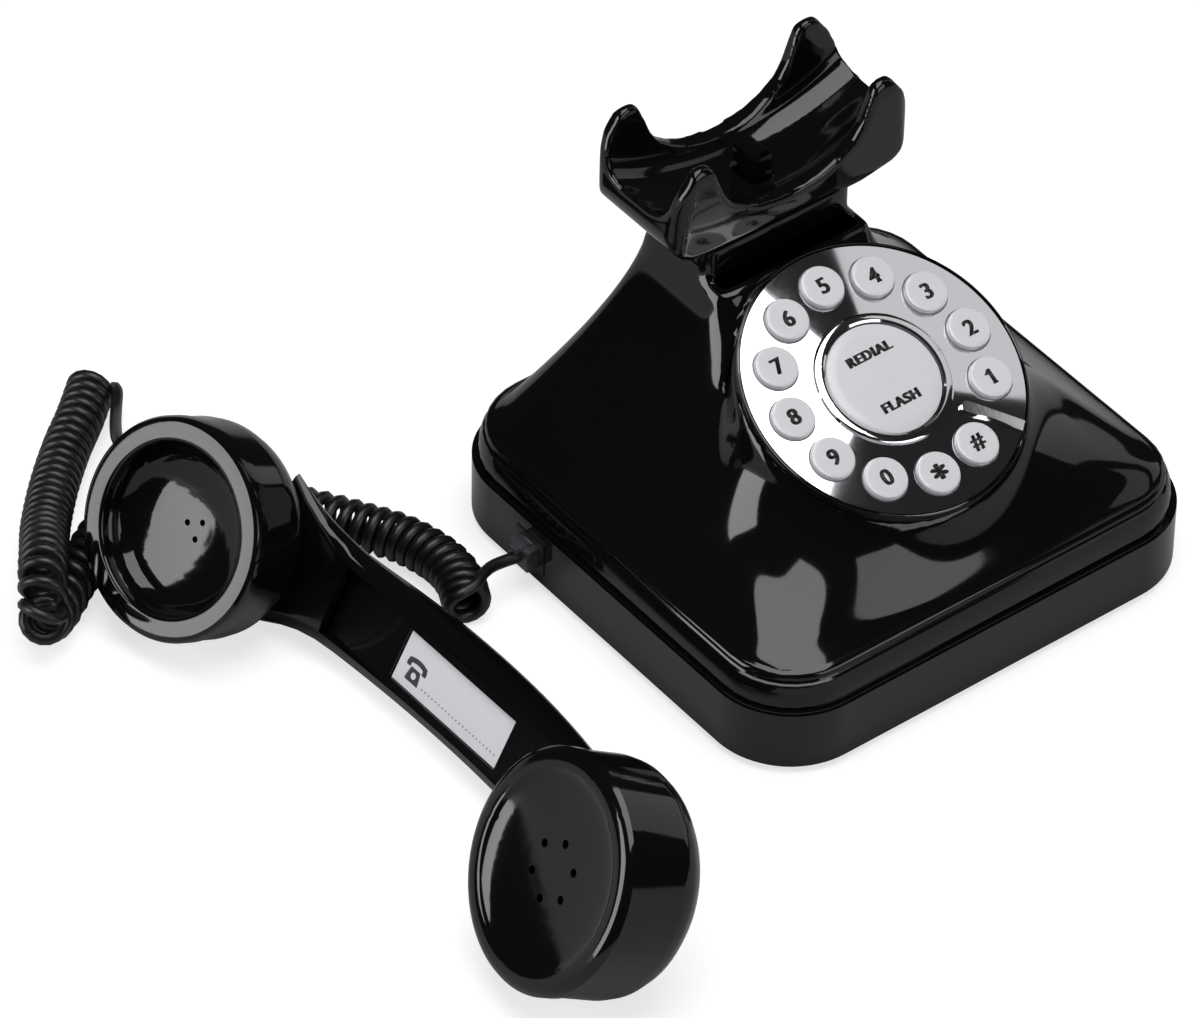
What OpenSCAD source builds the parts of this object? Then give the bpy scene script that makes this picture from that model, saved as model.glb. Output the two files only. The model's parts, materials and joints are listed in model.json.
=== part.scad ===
// Retro desk telephone with a ring of push buttons, a horned cradle,
// a separate handset and a curly handset cord. Millimetres, +Z up.
// Origin: middle of the footprint of base and handset, on the surface that they lie on.
// +Y is the back, and the handset lies on the left.

/* [Base] */
// Width of the base tray, left to right
body_w = 151; // [140:1:170]
// Depth of the base tray, front to back
body_d = 148; // [138:1:166]
// Corner radius of the base tray, seen from above
corner_r = 24; // [18:1:30]
// Height of the tray's top edge above the table
tray_top = 21.2; // [20:0.2:26]
// Thickness of the tray's side walls
tray_wall = 2.4; // [1.8:0.2:3]
// Thickness of the tray's floor
tray_floor = 2.4; // [2:0.2:3.2]
// Height of the rubber feet below the tray
foot_lift = 1.2; // [0.8:0.2:2]
// Radius of the rubber feet
foot_r = 6; // [5:0.5:8]

/* [Housing] */
// Wall thickness of the upper housing
shell_wall = 2.5; // [2:0.1:3]
// Inset of the flared sides from the tray's outline, where they begin
flare_in = 6.6; // [5:0.2:8]
// Height of the ledge where the neck begins
neck_z = 86.6; // [84:0.2:90]
// Half width of the neck
neck_half_w = 24; // [22:0.5:26]
// Half depth of the neck
neck_half_d = 13.6; // [12.8:0.2:15]
// Centre of the neck and the cradle, behind the base's centre
neck_y = 34.5; // [33:0.5:36]
// Height of the neck's flat top
neck_top = 99; // [97:0.5:102]

/* [Cradle] */
// Height of the horn tips
horn_z = 131.4; // [128:0.2:136]
// Half distance between the left and right horn tips
horn_x = 30.6; // [29:0.2:32]
// Half width of the cradle across its rounded lower corners
cradle_half_w = 40.2; // [39:0.2:43]
// Half depth of the cradle over its front and back walls
cradle_half_d = 18.2; // [17.6:0.2:19]
// Half width of the channel that the grip lies in
channel_half_w = 14.4; // [13.8:0.2:15]
// Thickness of the cradle's floor at its middle
cradle_floor = 5.5; // [4.5:0.5:6.5]
// Radius of the channel's long curve, seen from the front
channel_arc_r = 86; // [74:1:96]
// Height of the hook plunger's top when the handset is off
hook_top = 114; // [112:0.5:116]
// Travel of the hook plunger
hook_travel = 5; // [3:0.5:5.5]

/* [Dial] */
// Height of the middle of the dial's face
dial_z = 71; // [70:0.5:73]
// Place of the middle of the dial, in front of the base's centre
dial_y = -23; // [-25:0.5:-21]
// Tilt of the dial's face towards the user, in degrees
dial_tilt = 25.6; // [24:0.2:28]
// Radius of the chrome face plate
plate_r = 40; // [39.4:0.1:40.4]
// Thickness of the chrome face plate
plate_t = 1.5; // [1:0.1:2]
// Radius of the circle that the keys stand on
key_ring_r = 30; // [29.4:0.1:30.4]
// Angle from one key to the next, in degrees
key_step = 29.04; // [28:0.1:30]
// Angle of key 1, from the dial's right, in degrees
key_first = -26.2; // [-28:0.1:-24]
// Radius of a key's cap
key_r = 6.15; // [5.6:0.05:6.3]
// Height of a key's top over the face plate
key_rise = 1.7; // [1:0.1:2.4]
// Travel of a key
key_travel = 1.6; // [1:0.1:1.8]
// Radius of the centre button
button_r = 16.2; // [15:0.1:16.6]
// Outer radius of the chrome collar round the centre button
collar_r = 19.6; // [19.2:0.1:20]
// Gap between a moving piece and the piece that guides it
run_gap = 0.35; // [0.25:0.05:0.5]
// Gap between fixed pieces that sit in each other
fit_gap = 0.15; // [0.1:0.05:0.3]
// Gap left between a sprung piece at rest and its stop
seat_gap = 0.2; // [0.1:0.05:0.3]

/* [Handset] */
// Distance between the middles of the two cup faces
cup_span = 164.6; // [158:0.2:172]
// Radius of the ear cap
ear_r = 32.2; // [31:0.2:33.4]
// Radius of the mouthpiece
mouth_r = 30.4; // [29.6:0.2:31.6]
// Inward lean of each cup, in degrees
cup_lean = 7.5; // [6:0.5:9]
// Depth of the ear cup's straight side
ear_side = 19.5; // [18:0.5:22]
// Depth of the ear cup's rounded back
ear_back = 17.5; // [16:0.5:20]
// Depth of the mouth cup's straight side
mouth_side = 14; // [13:0.5:16]
// Depth of the mouth cup's rounded back
mouth_back = 20; // [18:0.5:22]
// Height of the two screw-on caps at their edge
cap_edge = 5; // [4.6:0.2:6]
// Wall thickness of the handset shell
hs_wall = 2.4; // [2:0.1:2.8]
// Half width of the grip
grip_half_w = 13.8; // [13:0.2:14.6]
// Depth of the grip's inner face behind the cup faces
grip_inner = 36.6; // [35.6:0.2:37.6]
// Depth of the grip's outer face behind the cup faces
grip_outer = 54; // [53:0.2:56]
// Length of the label card under its window
label_l = 45; // [36:1:50]
// Width of the label card
label_w = 14.6; // [12:0.2:15]
// Height of the ear-to-mouth line of the handset as it lies on the table
hs_z = 36.99; // [36.9:0.01:41]

/* [Jacks] */
// Place of the handset jack along the left wall
hs_jack_y = 31.6; // [24:0.2:36]
// Place of the line jack along the back wall
line_jack_x = 30; // [24:1:36]
// Place of the ringer knob along the back wall
ringer_x = -12; // [-16:1:-8]
// Place of the tone knob along the back wall
tone_x = -34; // [-38:1:-30]
// Travel of the two slide knobs
knob_travel = 4; // [2:0.5:5]

/* [Hidden] */
$fn = 64;

black = "#17171a";
chrome = "#c8ccd2";
white = "#ecebea";
steel = "#9a9ca0";
green = "#2c5d3b";
grey = "#6a6c70";
clear = "#c9d6dcaa";

big = 400;

// Place of the base's centre, so that the origin is the middle of the footprint of base and handset
set_x = 51.95;
set_y = 9.08;
module set_frame() {
    translate([set_x, set_y, 0]) children();
}

// ---- plan outlines -------------------------------------------------------

// Rounded rectangle about the origin, inset by i from the tray's outline
module plan(i) {
    w = body_w - 2 * i;
    d = body_d - 2 * i;
    r = corner_r - i;
    square([w, d - 2 * r], center = true);
    square([w - 2 * r, d], center = true);
    for (sx = [-1, 1], sy = [-1, 1])
        translate([sx * (w / 2 - r), sy * (d / 2 - r)]) circle(r);
}

module plan_slab(i, z0, z1) {
    translate([0, 0, z0]) linear_extrude(z1 - z0) plan(i);
}

// Box from two corners
module block(a, b) {
    translate(a) cube(b - a);
}

// ---- base ----------------------------------------------------------------

floor_top = foot_lift + tray_floor;
foot_x = body_w / 2 - 12.5;
foot_y = body_d / 2 - 30;
foot_recess = 1;
post_x = body_w / 2 - corner_r;
post_y = body_d / 2 - corner_r;
post_r = 4.6;
post_top = 11;
screw_r = 1.5;
head_r = 3;
head_h = 2;

board_z = floor_top + 0.8;
board_t = 1.6;
board_top = board_z + board_t;
board_front = 12;
board_inset = tray_wall + 0.8;
board_stand = [[-56, 20], [56, 20], [-20, 64], [48, 64]];

jack_w = 12;
jack_h = 10.4;
jack_depth = 15;
jack_proud = 0.3;
jack_mouth_w = 8.4;
jack_mouth_h = 7;
jack_mouth_z = board_top + 1.7;
jack_mouth_depth = 11;
line_w = 15;
line_h = 12.4;
line_mouth_w = 10.4;

knob_w = 4.4;
knob_h = 2.4;
knob_out = 1.6;
knob_z = board_top + 6.2;
slider_w = 7;
slider_d = 3.6;
slider_h = 4.6;

ringer_place = [-36, -34];
ringer_r = 15;
ringer_h = 8;
vent_l = 14;
vent_w = 1.6;
vent_step = 4;

// Opening in a side wall for something w wide and h high on the board
module back_opening(x, w, z0, h) {
    block([x - w / 2, body_d / 2 - tray_wall - 1, z0], [x + w / 2, body_d / 2 + 1, z0 + h]);
}

module base_tray() {
    lip = 0.8;
    color(black) set_frame() difference() {
        union() {
            difference() {
                union() {
                    plan_slab(1, foot_lift, foot_lift + 1);
                    plan_slab(0, foot_lift + 1, tray_top - lip);
                    plan_slab(0.5, tray_top - lip, tray_top);
                }
                plan_slab(tray_wall, floor_top, tray_top + 1);
            }
            for (sx = [-1, 1], sy = [-1, 1])
                translate([sx * post_x, sy * post_y, foot_lift + 0.6]) cylinder(post_top - foot_lift - 0.6, r = post_r);
            for (p = board_stand)
                translate([p[0], p[1], foot_lift + 1]) cylinder(board_z - foot_lift - 1, r = 3);
        }
        for (sx = [-1, 1], sy = [-1, 1]) {
            translate([sx * foot_x, sy * foot_y, 0]) cylinder(foot_lift + foot_recess, r = foot_r + fit_gap);
            translate([sx * post_x, sy * post_y, 0]) cylinder(post_top + 1, r = screw_r + 0.3);
            translate([sx * post_x, sy * post_y, 0]) cylinder(foot_lift + head_h + 2.4, r = head_r + 0.4);
        }
        // sound slots under the ringer
        for (k = [-2 : 2])
            translate([ringer_place[0], ringer_place[1] + k * vent_step, foot_lift + tray_floor / 2])
                cube([vent_l, vent_w, tray_floor + 2], center = true);
        // handset jack, line jack and the two knob slots
        block([-body_w / 2 - 1, hs_jack_y - jack_w / 2 - fit_gap, board_top - fit_gap],
            [-body_w / 2 + tray_wall + 1, hs_jack_y + jack_w / 2 + fit_gap, board_top + jack_h + fit_gap]);
        back_opening(line_jack_x, line_w + 2 * fit_gap, board_top - fit_gap, line_h + 2 * fit_gap);
        for (x = [ringer_x, tone_x])
            back_opening(x, knob_w + knob_travel + 2 * run_gap, knob_z - knob_h / 2 - run_gap, knob_h + 2 * run_gap);
    }
}

module base_feet() {
    color("#222224") set_frame()
        for (sx = [-1, 1], sy = [-1, 1])
            translate([sx * foot_x, sy * foot_y, 0]) cylinder(foot_lift + foot_recess, r = foot_r);
}

ballast_lo = [-12, -54];
ballast_hi = [44, 2];
ballast_t = 4;

module ballast_plate() {
    color(steel) set_frame() difference() {
        block([ballast_lo[0], ballast_lo[1], floor_top], [ballast_hi[0], ballast_hi[1], floor_top + ballast_t]);
        for (x = [ballast_lo[0] + 6, ballast_hi[0] - 6])
            translate([x, (ballast_lo[1] + ballast_hi[1]) / 2, 0]) cylinder(floor_top + ballast_t + 1, r = 2);
    }
}

module main_board() {
    color(green) set_frame() difference() {
        intersection() {
            plan_slab(board_inset, board_z, board_top);
            block([-body_w, board_front, 0], [body_w, body_d, 50]);
        }
        for (sx = [-1, 1])
            translate([sx * post_x, post_y, 0]) cylinder(50, r = post_r + 0.6);
        for (sx = [-1, 1])
            translate([sx * 62, 20, 0]) cylinder(50, r = 1.4);
    }
}

module board_parts() {
    z = board_top;
    color(grey) set_frame() {
        block([8, 22, z], [24, 36, z + 12]);
        block([-30, 24, z], [-14, 32, z + 9]);
        block([-6, 40, z], [12, 48, z + 3]);
        for (x = [-44, 34, 44]) translate([x, 30, z]) cylinder(11, r = 4);
        for (x = [-10, 0, 10]) translate([x, 16, z]) cylinder(2, r = 1.6);
        // bodies of the two slide switches, below their knobs
        for (x = [ringer_x, tone_x])
            block([x - 5, body_d / 2 - tray_wall - 7, z],
                [x + 5, body_d / 2 - tray_wall - 1, knob_z - slider_h / 2 - run_gap]);
    }
}

module ringer_capsule() {
    color("#2b2b2e") set_frame() translate([ringer_place[0], ringer_place[1], floor_top]) difference() {
        union() {
            cylinder(2, r = ringer_r);
            cylinder(ringer_h, r = ringer_r - 2);
        }
        translate([0, 0, -1]) cylinder(3, r = ringer_r - 5);
    }
}

module line_jack() {
    y1 = body_d / 2 - 0.2;
    color("#26262a") set_frame() difference() {
        block([line_jack_x - line_w / 2, y1 - jack_depth, board_top], [line_jack_x + line_w / 2, y1, board_top + line_h]);
        block([line_jack_x - line_mouth_w / 2, y1 - jack_mouth_depth, jack_mouth_z],
            [line_jack_x + line_mouth_w / 2, y1 + 1, jack_mouth_z + jack_mouth_h]);
        block([line_jack_x - 3, y1 - jack_mouth_depth, jack_mouth_z + 1],
            [line_jack_x + 3, y1 + 1, jack_mouth_z + jack_mouth_h + 1.6]);
    }
}

module handset_jack() {
    x0 = -body_w / 2 - jack_proud;
    color("#26262a") set_frame() difference() {
        block([x0, hs_jack_y - jack_w / 2, board_top], [x0 + jack_depth, hs_jack_y + jack_w / 2, board_top + jack_h]);
        block([x0 - 1, hs_jack_y - jack_mouth_w / 2, jack_mouth_z],
            [x0 + jack_mouth_depth, hs_jack_y + jack_mouth_w / 2, jack_mouth_z + jack_mouth_h]);
    }
}

module slide_knob(x) {
    y_in = body_d / 2 - tray_wall - run_gap;
    color(black) set_frame() {
        block([x - slider_w / 2, y_in - slider_d, knob_z - slider_h / 2], [x + slider_w / 2, y_in, knob_z + slider_h / 2]);
        block([x - knob_w / 2, y_in - 1, knob_z - knob_h / 2],
            [x + knob_w / 2, body_d / 2 + knob_out, knob_z + knob_h / 2]);
    }
}

module ringer_knob() { slide_knob(ringer_x); }
module tone_knob() { slide_knob(tone_x); }

// ---- upper housing -------------------------------------------------------

// Rim of the housing over the tray: [inset from the tray's outline, height over its bottom edge]
shell_z = tray_top + 0.3;
rim = [[1.6, 0], [1.7, 2], [2.2, 5.4], [2.9, 7], [3.6, 7.3], [3.9, 7.8], [3.5, 8.4], [3.6, 9.2], [4.1, 9.9], [5, 10.3]];
flare_z = shell_z + rim[len(rim) - 1][1] + 0.2;
flare_power = 1.5;
flare_rings = 12;
flare_top_half_w = neck_half_w + 1.5;
flare_front_y = neck_y - neck_half_d - 7;
neck_r = 3;
corner_steps = 8;

// Ring of points: x half width, front y, back y, corner radii and height
function arc_pts(cx, cy, r, a0) =
    [for (k = [0 : corner_steps]) let (a = a0 + 90 * k / corner_steps) [cx + r * cos(a), cy + r * sin(a)]];
function ring_pts(hw, yf, yb, rf, rb, z) = [
    for (p = concat(arc_pts(hw - rb, yb - rb, rb, 0), arc_pts(-hw + rb, yb - rb, rb, 90),
        arc_pts(-hw + rf, yf + rf, rf, 180), arc_pts(hw - rf, yf + rf, rf, 270))) [p[0], p[1], z]];

function mix(a, b, t) = a + (b - a) * t;
function fall(t) = pow(1 - t, flare_power);

// Section of the flared body at height share t, with its wall taken off by w
function flare_ring(t, w) = let (
    g = fall(t),
    hw = mix(flare_top_half_w, body_w / 2 - flare_in, g) - w,
    yb = mix(neck_y + neck_half_d + 1.5, body_d / 2 - flare_in, g) - w,
    yf = mix(flare_front_y, -body_d / 2 + flare_in, g) + w,
    r = max(1, mix(neck_r + 0.5, corner_r - flare_in, g) - w)
) ring_pts(hw, yf, yb, r, r, mix(flare_z, neck_z, t));

function rim_ring(i, z, w) = ring_pts(body_w / 2 - i - w, -body_d / 2 + i + w, body_d / 2 - i - w,
    corner_r - i - w, corner_r - i - w, z);
function neck_ring(z, w) = ring_pts(neck_half_w - w, neck_y - neck_half_d + w, neck_y + neck_half_d - w,
    neck_r - w / 3, neck_r - w / 3, z);

// Closed solid through a list of rings with the same number of points
module loft(rings) {
    n = len(rings[0]);
    m = len(rings);
    polyhedron(
        points = [for (r = rings) for (p = r) p],
        faces = concat(
            [[for (k = [0 : n - 1]) k]],
            [for (j = [0 : m - 2]) for (k = [0 : n - 1]) [j * n + k, (j + 1) * n + (k + 1) % n, j * n + (k + 1) % n]],
            [for (j = [0 : m - 2]) for (k = [0 : n - 1]) [j * n + k, (j + 1) * n + k, (j + 1) * n + (k + 1) % n]],
            [[for (k = [0 : n - 1]) m * n - 1 - k]]),
        convexity = 6);
}

module body_outer() {
    loft(concat(
        [for (p = rim) rim_ring(p[0], shell_z + p[1], 0)],
        [for (k = [0 : flare_rings]) flare_ring(k / flare_rings, 0)],
        [neck_ring(neck_z + 0.3, 0), neck_ring(neck_top, 0)]));
}

module body_inner() {
    w = shell_wall;
    loft(concat(
        [rim_ring(rim[1][0], shell_z - 1, w), rim_ring(rim[3][0], shell_z + rim[3][1] - 0.5, w)],
        [for (k = [0 : 2 : flare_rings]) flare_ring(k / flare_rings, w)],
        [neck_ring(neck_z + 0.6, w), neck_ring(neck_top - w, w)]));
}

// Frame of the dial: its middle at the origin, its face looking along +Z
module dial_frame() {
    translate([0, dial_y, dial_z]) rotate([dial_tilt, 0, 0]) children();
}
function dial_point(p) = [p[0],
    dial_y + p[1] * cos(dial_tilt) - p[2] * sin(dial_tilt),
    dial_z + p[1] * sin(dial_tilt) + p[2] * cos(dial_tilt)];

turret_r = plate_r + 1;
turret_drop = 2.6;
turret_rings = 9;
turret_points = 64;
turret_power = 1.8;
turret_foot_y = -6;
function clip1(v) = max(-1, min(1, v));

// Turret section: from the plan of the body's front half up to the dial's round rim
function turret_foot(a, w) = let (
    hx = body_w / 2 - flare_in - 0.6 - w, y0 = -body_d / 2 + flare_in + 0.6 + w, hy = (turret_foot_y - w - y0) / 2,
    r = corner_r - flare_in - 2)
    [(hx - r) * clip1(1.5 * cos(a)) + r * cos(a), y0 + hy + (hy - r) * clip1(1.5 * sin(a)) + r * sin(a), flare_z + 0.8];
function turret_ring(s, w) = [for (k = [0 : turret_points - 1]) let (
    a = 360 * k / turret_points,
    q0 = turret_foot(a, w),
    q1 = dial_point([(turret_r - w) * cos(a), (turret_r - w) * sin(a), -turret_drop]),
    h = 1 - pow(1 - s, turret_power))
    [mix(q0[0], q1[0], h), mix(q0[1], q1[1], h), mix(q0[2], q1[2], s)]];

module turret_outer() {
    loft([for (k = [0 : turret_rings]) turret_ring(k / turret_rings, 0)]);
}
module turret_inner() {
    w = shell_wall;
    intersection() {
        translate([0, 0, -1]) loft([for (k = [0 : 2 : turret_rings]) turret_ring(k / turret_rings, w)]);
        dial_frame() translate([0, 0, -big / 2 - turret_drop - w]) cube(big, center = true);
    }
}

bezel_body_r = plate_r - 0.9;
boss_bottom = post_top + 0.2;
tongue = 3;

module upper_housing() {
    color(black) set_frame() difference() {
        union() {
            difference() {
                union() {
                    body_outer();
                    turret_outer();
                }
                body_inner();
                turret_inner();
            }
            // screw bosses, cut to the outside of the body
            intersection() {
                for (sx = [-1, 1], sy = [-1, 1])
                    translate([sx * post_x, sy * post_y, shell_z + 2]) cylinder(big, r = post_r - 0.6);
                body_outer();
            }
            for (sx = [-1, 1], sy = [-1, 1])
                translate([sx * post_x, sy * post_y, boss_bottom]) cylinder(shell_z + 2.5 - boss_bottom, r = post_r - 0.6);
            // tongue that drops inside the tray's wall
            difference() {
                plan_slab(tray_wall + fit_gap, shell_z - tongue, shell_z + 3);
                plan_slab(tray_wall + fit_gap + 1.6, shell_z - tongue - 1, shell_z + 4);
            }
        }
        for (sx = [-1, 1], sy = [-1, 1])
            translate([sx * post_x, sy * post_y, boss_bottom - 1]) cylinder(9, r = screw_r);
        dial_frame() translate([0, 0, -22]) cylinder(40, r = bezel_body_r + fit_gap);
        dial_frame() translate([0, 0, -turret_drop + 0.05]) cylinder(20, r = bezel_r + fit_gap);
        // hole for the hook plunger and its two screws
        hook_hole(run_gap, neck_top - 6, neck_top + 1);
        for (sx = [-1, 1]) translate([sx * cradle_screw_x, neck_y, neck_top - 6]) cylinder(8, r = screw_r + 0.2);
        // clear of the jacks and knobs in the tray's wall
        block([-body_w / 2, hs_jack_y - jack_w / 2 - 0.5, shell_z - tongue - 1],
            [-body_w / 2 + jack_depth, hs_jack_y + jack_w / 2 + 0.5, shell_z - 0.6]);
        block([tone_x - 8, body_d / 2 - 12, shell_z - tongue - 1], [line_jack_x + 9, body_d / 2 - tray_wall, shell_z - 0.6]);
    }
}

// ---- screws --------------------------------------------------------------

// Screw pointing up from the underside of its head at z = 0
module screw_up(l, r, hr, hh) {
    difference() {
        translate([0, 0, -hh]) cylinder(hh, r = hr);
        translate([0, 0, -hh - 1]) cylinder(1 + hh / 2, r = hr * 0.4, $fn = 6);
    }
    translate([0, 0, -hh / 4]) cylinder(l + hh / 4, r = r);
}

module housing_screws() {
    color(steel) set_frame() for (sx = [-1, 1], sy = [-1, 1])
        translate([sx * post_x, sy * post_y, foot_lift + head_h + 2.4])
            screw_up(12, screw_r - 0.1, head_r, head_h);
}

// ---- hook ----------------------------------------------------------------

hook_w = 6;
hook_d = 9;
hook_head_w = 8;
hook_collar_z = neck_top - shell_wall - seat_gap;
cradle_screw_x = 14.2;
bracket_t = 1.2;
bracket_drop = 17;
bracket_half_w = 18.6;
hook_bottom = neck_top - 9.5;

module hook_hole(g, z0, z1) {
    block([-hook_w / 2 - g, neck_y - hook_d / 2 - g, z0], [hook_w / 2 + g, neck_y + hook_d / 2 + g, z1]);
}

module hook_plunger() {
    color("#1d1d20") set_frame() {
        hook_hole(0, hook_bottom, hook_top - hook_w / 2);
        translate([0, neck_y - hook_d / 2, hook_top - hook_w / 2]) rotate([-90, 0, 0]) cylinder(hook_d, r = hook_w / 2);
        block([-hook_head_w / 2 - 1, neck_y - hook_d / 2, hook_collar_z - 1.4],
            [hook_head_w / 2 + 1, neck_y + hook_d / 2, hook_collar_z]);
    }
}

module hook_bracket() {
    z1 = neck_top - shell_wall;
    color(steel) set_frame() difference() {
        for (sx = [-1, 1]) {
            x0 = sx * (bracket_half_w - bracket_t / 2);
            translate([x0, neck_y, z1 - bracket_drop / 2]) cube([bracket_t, 12, bracket_drop], center = true);
            translate([sx * (bracket_half_w - 4), neck_y, z1 - bracket_t / 2]) cube([8, 12, bracket_t], center = true);
            translate([sx * bracket_half_w / 2, neck_y, z1 - bracket_drop + bracket_t / 2])
                cube([bracket_half_w, 12, bracket_t], center = true);
        }
        for (sx = [-1, 1]) translate([sx * cradle_screw_x, neck_y, z1 - 3]) cylinder(4, r = screw_r + 0.2);
    }
}

module hook_switch() {
    z0 = neck_top - shell_wall - bracket_drop + bracket_t;
    z1 = hook_bottom - hook_travel - 0.4;
    color("#3a3a40") set_frame() {
        block([-10, neck_y - 3.5, z0], [10, neck_y + 3.5, z1 - 1.2]);
        translate([0, neck_y, z1 - 1.3]) cylinder(1.3, r = 1.5);
    }
}

module cradle_screws() {
    color(steel) set_frame() for (sx = [-1, 1])
        translate([sx * cradle_screw_x, neck_y, neck_top - shell_wall - bracket_t])
            screw_up(shell_wall + bracket_t + 3.4, screw_r - 0.1, head_r - 0.4, head_h - 0.4);
}

// ---- cradle --------------------------------------------------------------

function arc2(cx, cz, r, a0, a1, n) = [for (k = [0 : n]) let (a = mix(a0, a1, k / n)) [cx + r * cos(a), cz + r * sin(a)]];

tip_r = 4.2;
corner_low_r = 9.4;
cradle_corner_r = 6;
valley_z = 108.4;

// Right half of the cradle seen from the front: flat bottom, round lower corner, horn, valley
cradle_side = concat(
    [[0, neck_top], [neck_half_w + 1, neck_top]],
    arc2(cradle_half_w - corner_low_r, neck_top + corner_low_r + 2.2, corner_low_r, -78, 12, 8),
    [[cradle_half_w - 0.3, 116], [cradle_half_w - 1.2, 120.6], [cradle_half_w - 3, 125]],
    arc2(horn_x, horn_z - tip_r, tip_r, 20, 160, 8),
    [[horn_x - 5.6, 124.4], [horn_x - 7.4, 119.6], [horn_x - 10, 115.6], [horn_x - 14.6, 112.2], [11, 109.9], [5.4, 108.7]],
    [[0, valley_z]]);
function mirrored(p) = concat(p, [for (k = [len(p) - 2 : -1 : 1]) [-p[k][0], p[k][1]]]);

// Right half of the cradle seen from its end: walls lean out a little to thin round tops
cradle_end = [[0, neck_top], [cradle_half_d - 2, neck_top], [cradle_half_d - 0.9, neck_top + 3],
    [cradle_half_d - 0.4, 112], [cradle_half_d, 120], [cradle_half_d, horn_z - 4],
    [cradle_half_d - 0.5, horn_z - 1.6], [cradle_half_d - 1.7, horn_z], [0, horn_z]];

// Cross-section of the channel: distance from the long curve's axis, and half width
channel_side = [[channel_arc_r, 0], [channel_arc_r - 0.4, 6], [channel_arc_r - 1.2, 9.4],
    [channel_arc_r - 2.8, 11.8], [channel_arc_r - 5.6, 13.2], [channel_arc_r - 12, channel_half_w - 0.6],
    [channel_arc_r - 24, channel_half_w], [channel_arc_r - 36, channel_half_w + 0.6]];

// Cradle seen from above: a rectangle with rounded corners
module cradle_plan() {
    w = cradle_half_w + 0.3;
    r = cradle_corner_r;
    square([2 * w, 2 * (cradle_half_d - r)], center = true);
    square([2 * (w - r), 2 * cradle_half_d], center = true);
    for (sx = [-1, 1], sy = [-1, 1]) translate([sx * (w - r), sy * (cradle_half_d - r)]) circle(r, $fn = 40);
}

module channel_cut() {
    pts = concat(channel_side, [for (k = [len(channel_side) - 1 : -1 : 1]) [channel_side[k][0], -channel_side[k][1]]]);
    translate([0, neck_y, neck_top + cradle_floor + channel_arc_r]) rotate([90, 0, 0])
        rotate_extrude($fn = 120) polygon(pts);
}

module cradle() {
    color(black) set_frame() difference() {
        intersection() {
            translate([0, neck_y + 30, 0]) rotate([90, 0, 0]) linear_extrude(60) polygon(mirrored(cradle_side));
            translate([-60, neck_y, 0]) rotate([90, 0, 90]) linear_extrude(120) polygon(mirrored(cradle_end));
            translate([0, neck_y, neck_top - 1]) linear_extrude(horn_z - neck_top + 2) cradle_plan();
        }
        channel_cut();
        hook_hole(run_gap, neck_top - 1, neck_top + 20);
        for (sx = [-1, 1]) translate([sx * cradle_screw_x, neck_y, neck_top - 1]) cylinder(4.6, r = screw_r);
    }
}

// ---- dial ----------------------------------------------------------------

// Revolved piece from [radius, height] points
module lathe(pts, n = 96) {
    rotate_extrude($fn = n) polygon(pts);
}

seat_z = -plate_t - fit_gap;
bezel_r = plate_r + 0.9;
bezel_in = plate_r + 0.2;
bezel_wall = 1.4;
bezel_low = -13;
board_face = -7.6;
lug_r = 2.6;
lug_place = 35.4;
lug_low = board_face + 0.2;
lug_high = -5.4;
function key_angle(k) = key_first + k * key_step;
lug_angles = [key_angle(1.5), key_angle(5.5), key_angle(9.5)];
key_hole_r = key_r + run_gap;
flange_r = key_r + 0.85;

module dial_bezel() {
    color(black) set_frame() dial_frame() union() {
        lathe([[bezel_body_r - bezel_wall, bezel_low], [bezel_body_r - bezel_wall, seat_z], [bezel_in, seat_z], [bezel_in, 0.1],
            [bezel_in + 0.2, 0.35], [bezel_r - 0.2, 0.25], [bezel_r, -0.3], [bezel_r, -turret_drop + 0.1],
            [bezel_body_r, -turret_drop + 0.1], [bezel_body_r, bezel_low]]);
        for (a = lug_angles) rotate(a) translate([0, 0, lug_low]) difference() {
            union() {
                translate([lug_place, 0, 0]) cylinder(lug_high - lug_low, r = lug_r);
                translate([lug_place, -lug_r, 0]) cube([bezel_body_r - bezel_wall / 2 - lug_place, 2 * lug_r, lug_high - lug_low]);
            }
            translate([lug_place, 0, -1]) cylinder(9, r = 0.8);
        }
    }
}

module dial_plate() {
    color(chrome) set_frame() dial_frame() difference() {
        lathe([[collar_r - 1, -plate_t], [plate_r, -plate_t], [plate_r, -0.3], [plate_r - 0.3, 0], [collar_r - 1, 0]]);
        for (k = [0 : 11]) rotate(key_angle(k)) translate([key_ring_r, 0, -9]) cylinder(18, r = key_hole_r);
        rotate(stop_angle) translate([plate_r - stop_in - 1, -1, -9]) cube([2.6, 2, 18]);
    }
}

stop_angle = key_angle(-1) + 7.6;
stop_in = 16.4;
stop_w = 3.2;

// Curved chrome finger stop, lying over the plate between # and 1
module finger_stop() {
    h = 1.1;
    color(chrome) set_frame() dial_frame() rotate(stop_angle) {
        translate([0, 0, 0.05]) linear_extrude(h) difference() {
            union() {
                translate([plate_r - stop_in, -stop_w / 2]) square([stop_in - 0.4, stop_w]);
                translate([plate_r - stop_in, 0]) circle(stop_w / 2, $fn = 24);
            }
            translate([plate_r - stop_in / 2, -26.2]) circle(25.2, $fn = 120);
        }
        translate([plate_r - stop_in - 0.8, -0.8, -plate_t]) cube([2.2, 1.6, plate_t + 0.3]);
    }
}

collar_in = button_r + run_gap;

module dial_collar() {
    color(chrome) set_frame() dial_frame() lathe([[collar_in, -plate_t - 1.4], [collar_r - 1 - fit_gap, -plate_t - 1.4],
        [collar_r - 1 - fit_gap, 0.02], [collar_r, 0.02], [collar_r - 0.3, 0.8], [collar_r - 1, 1.2],
        [collar_in + 0.6, 1.2], [collar_in, 0.8]]);
}

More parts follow.
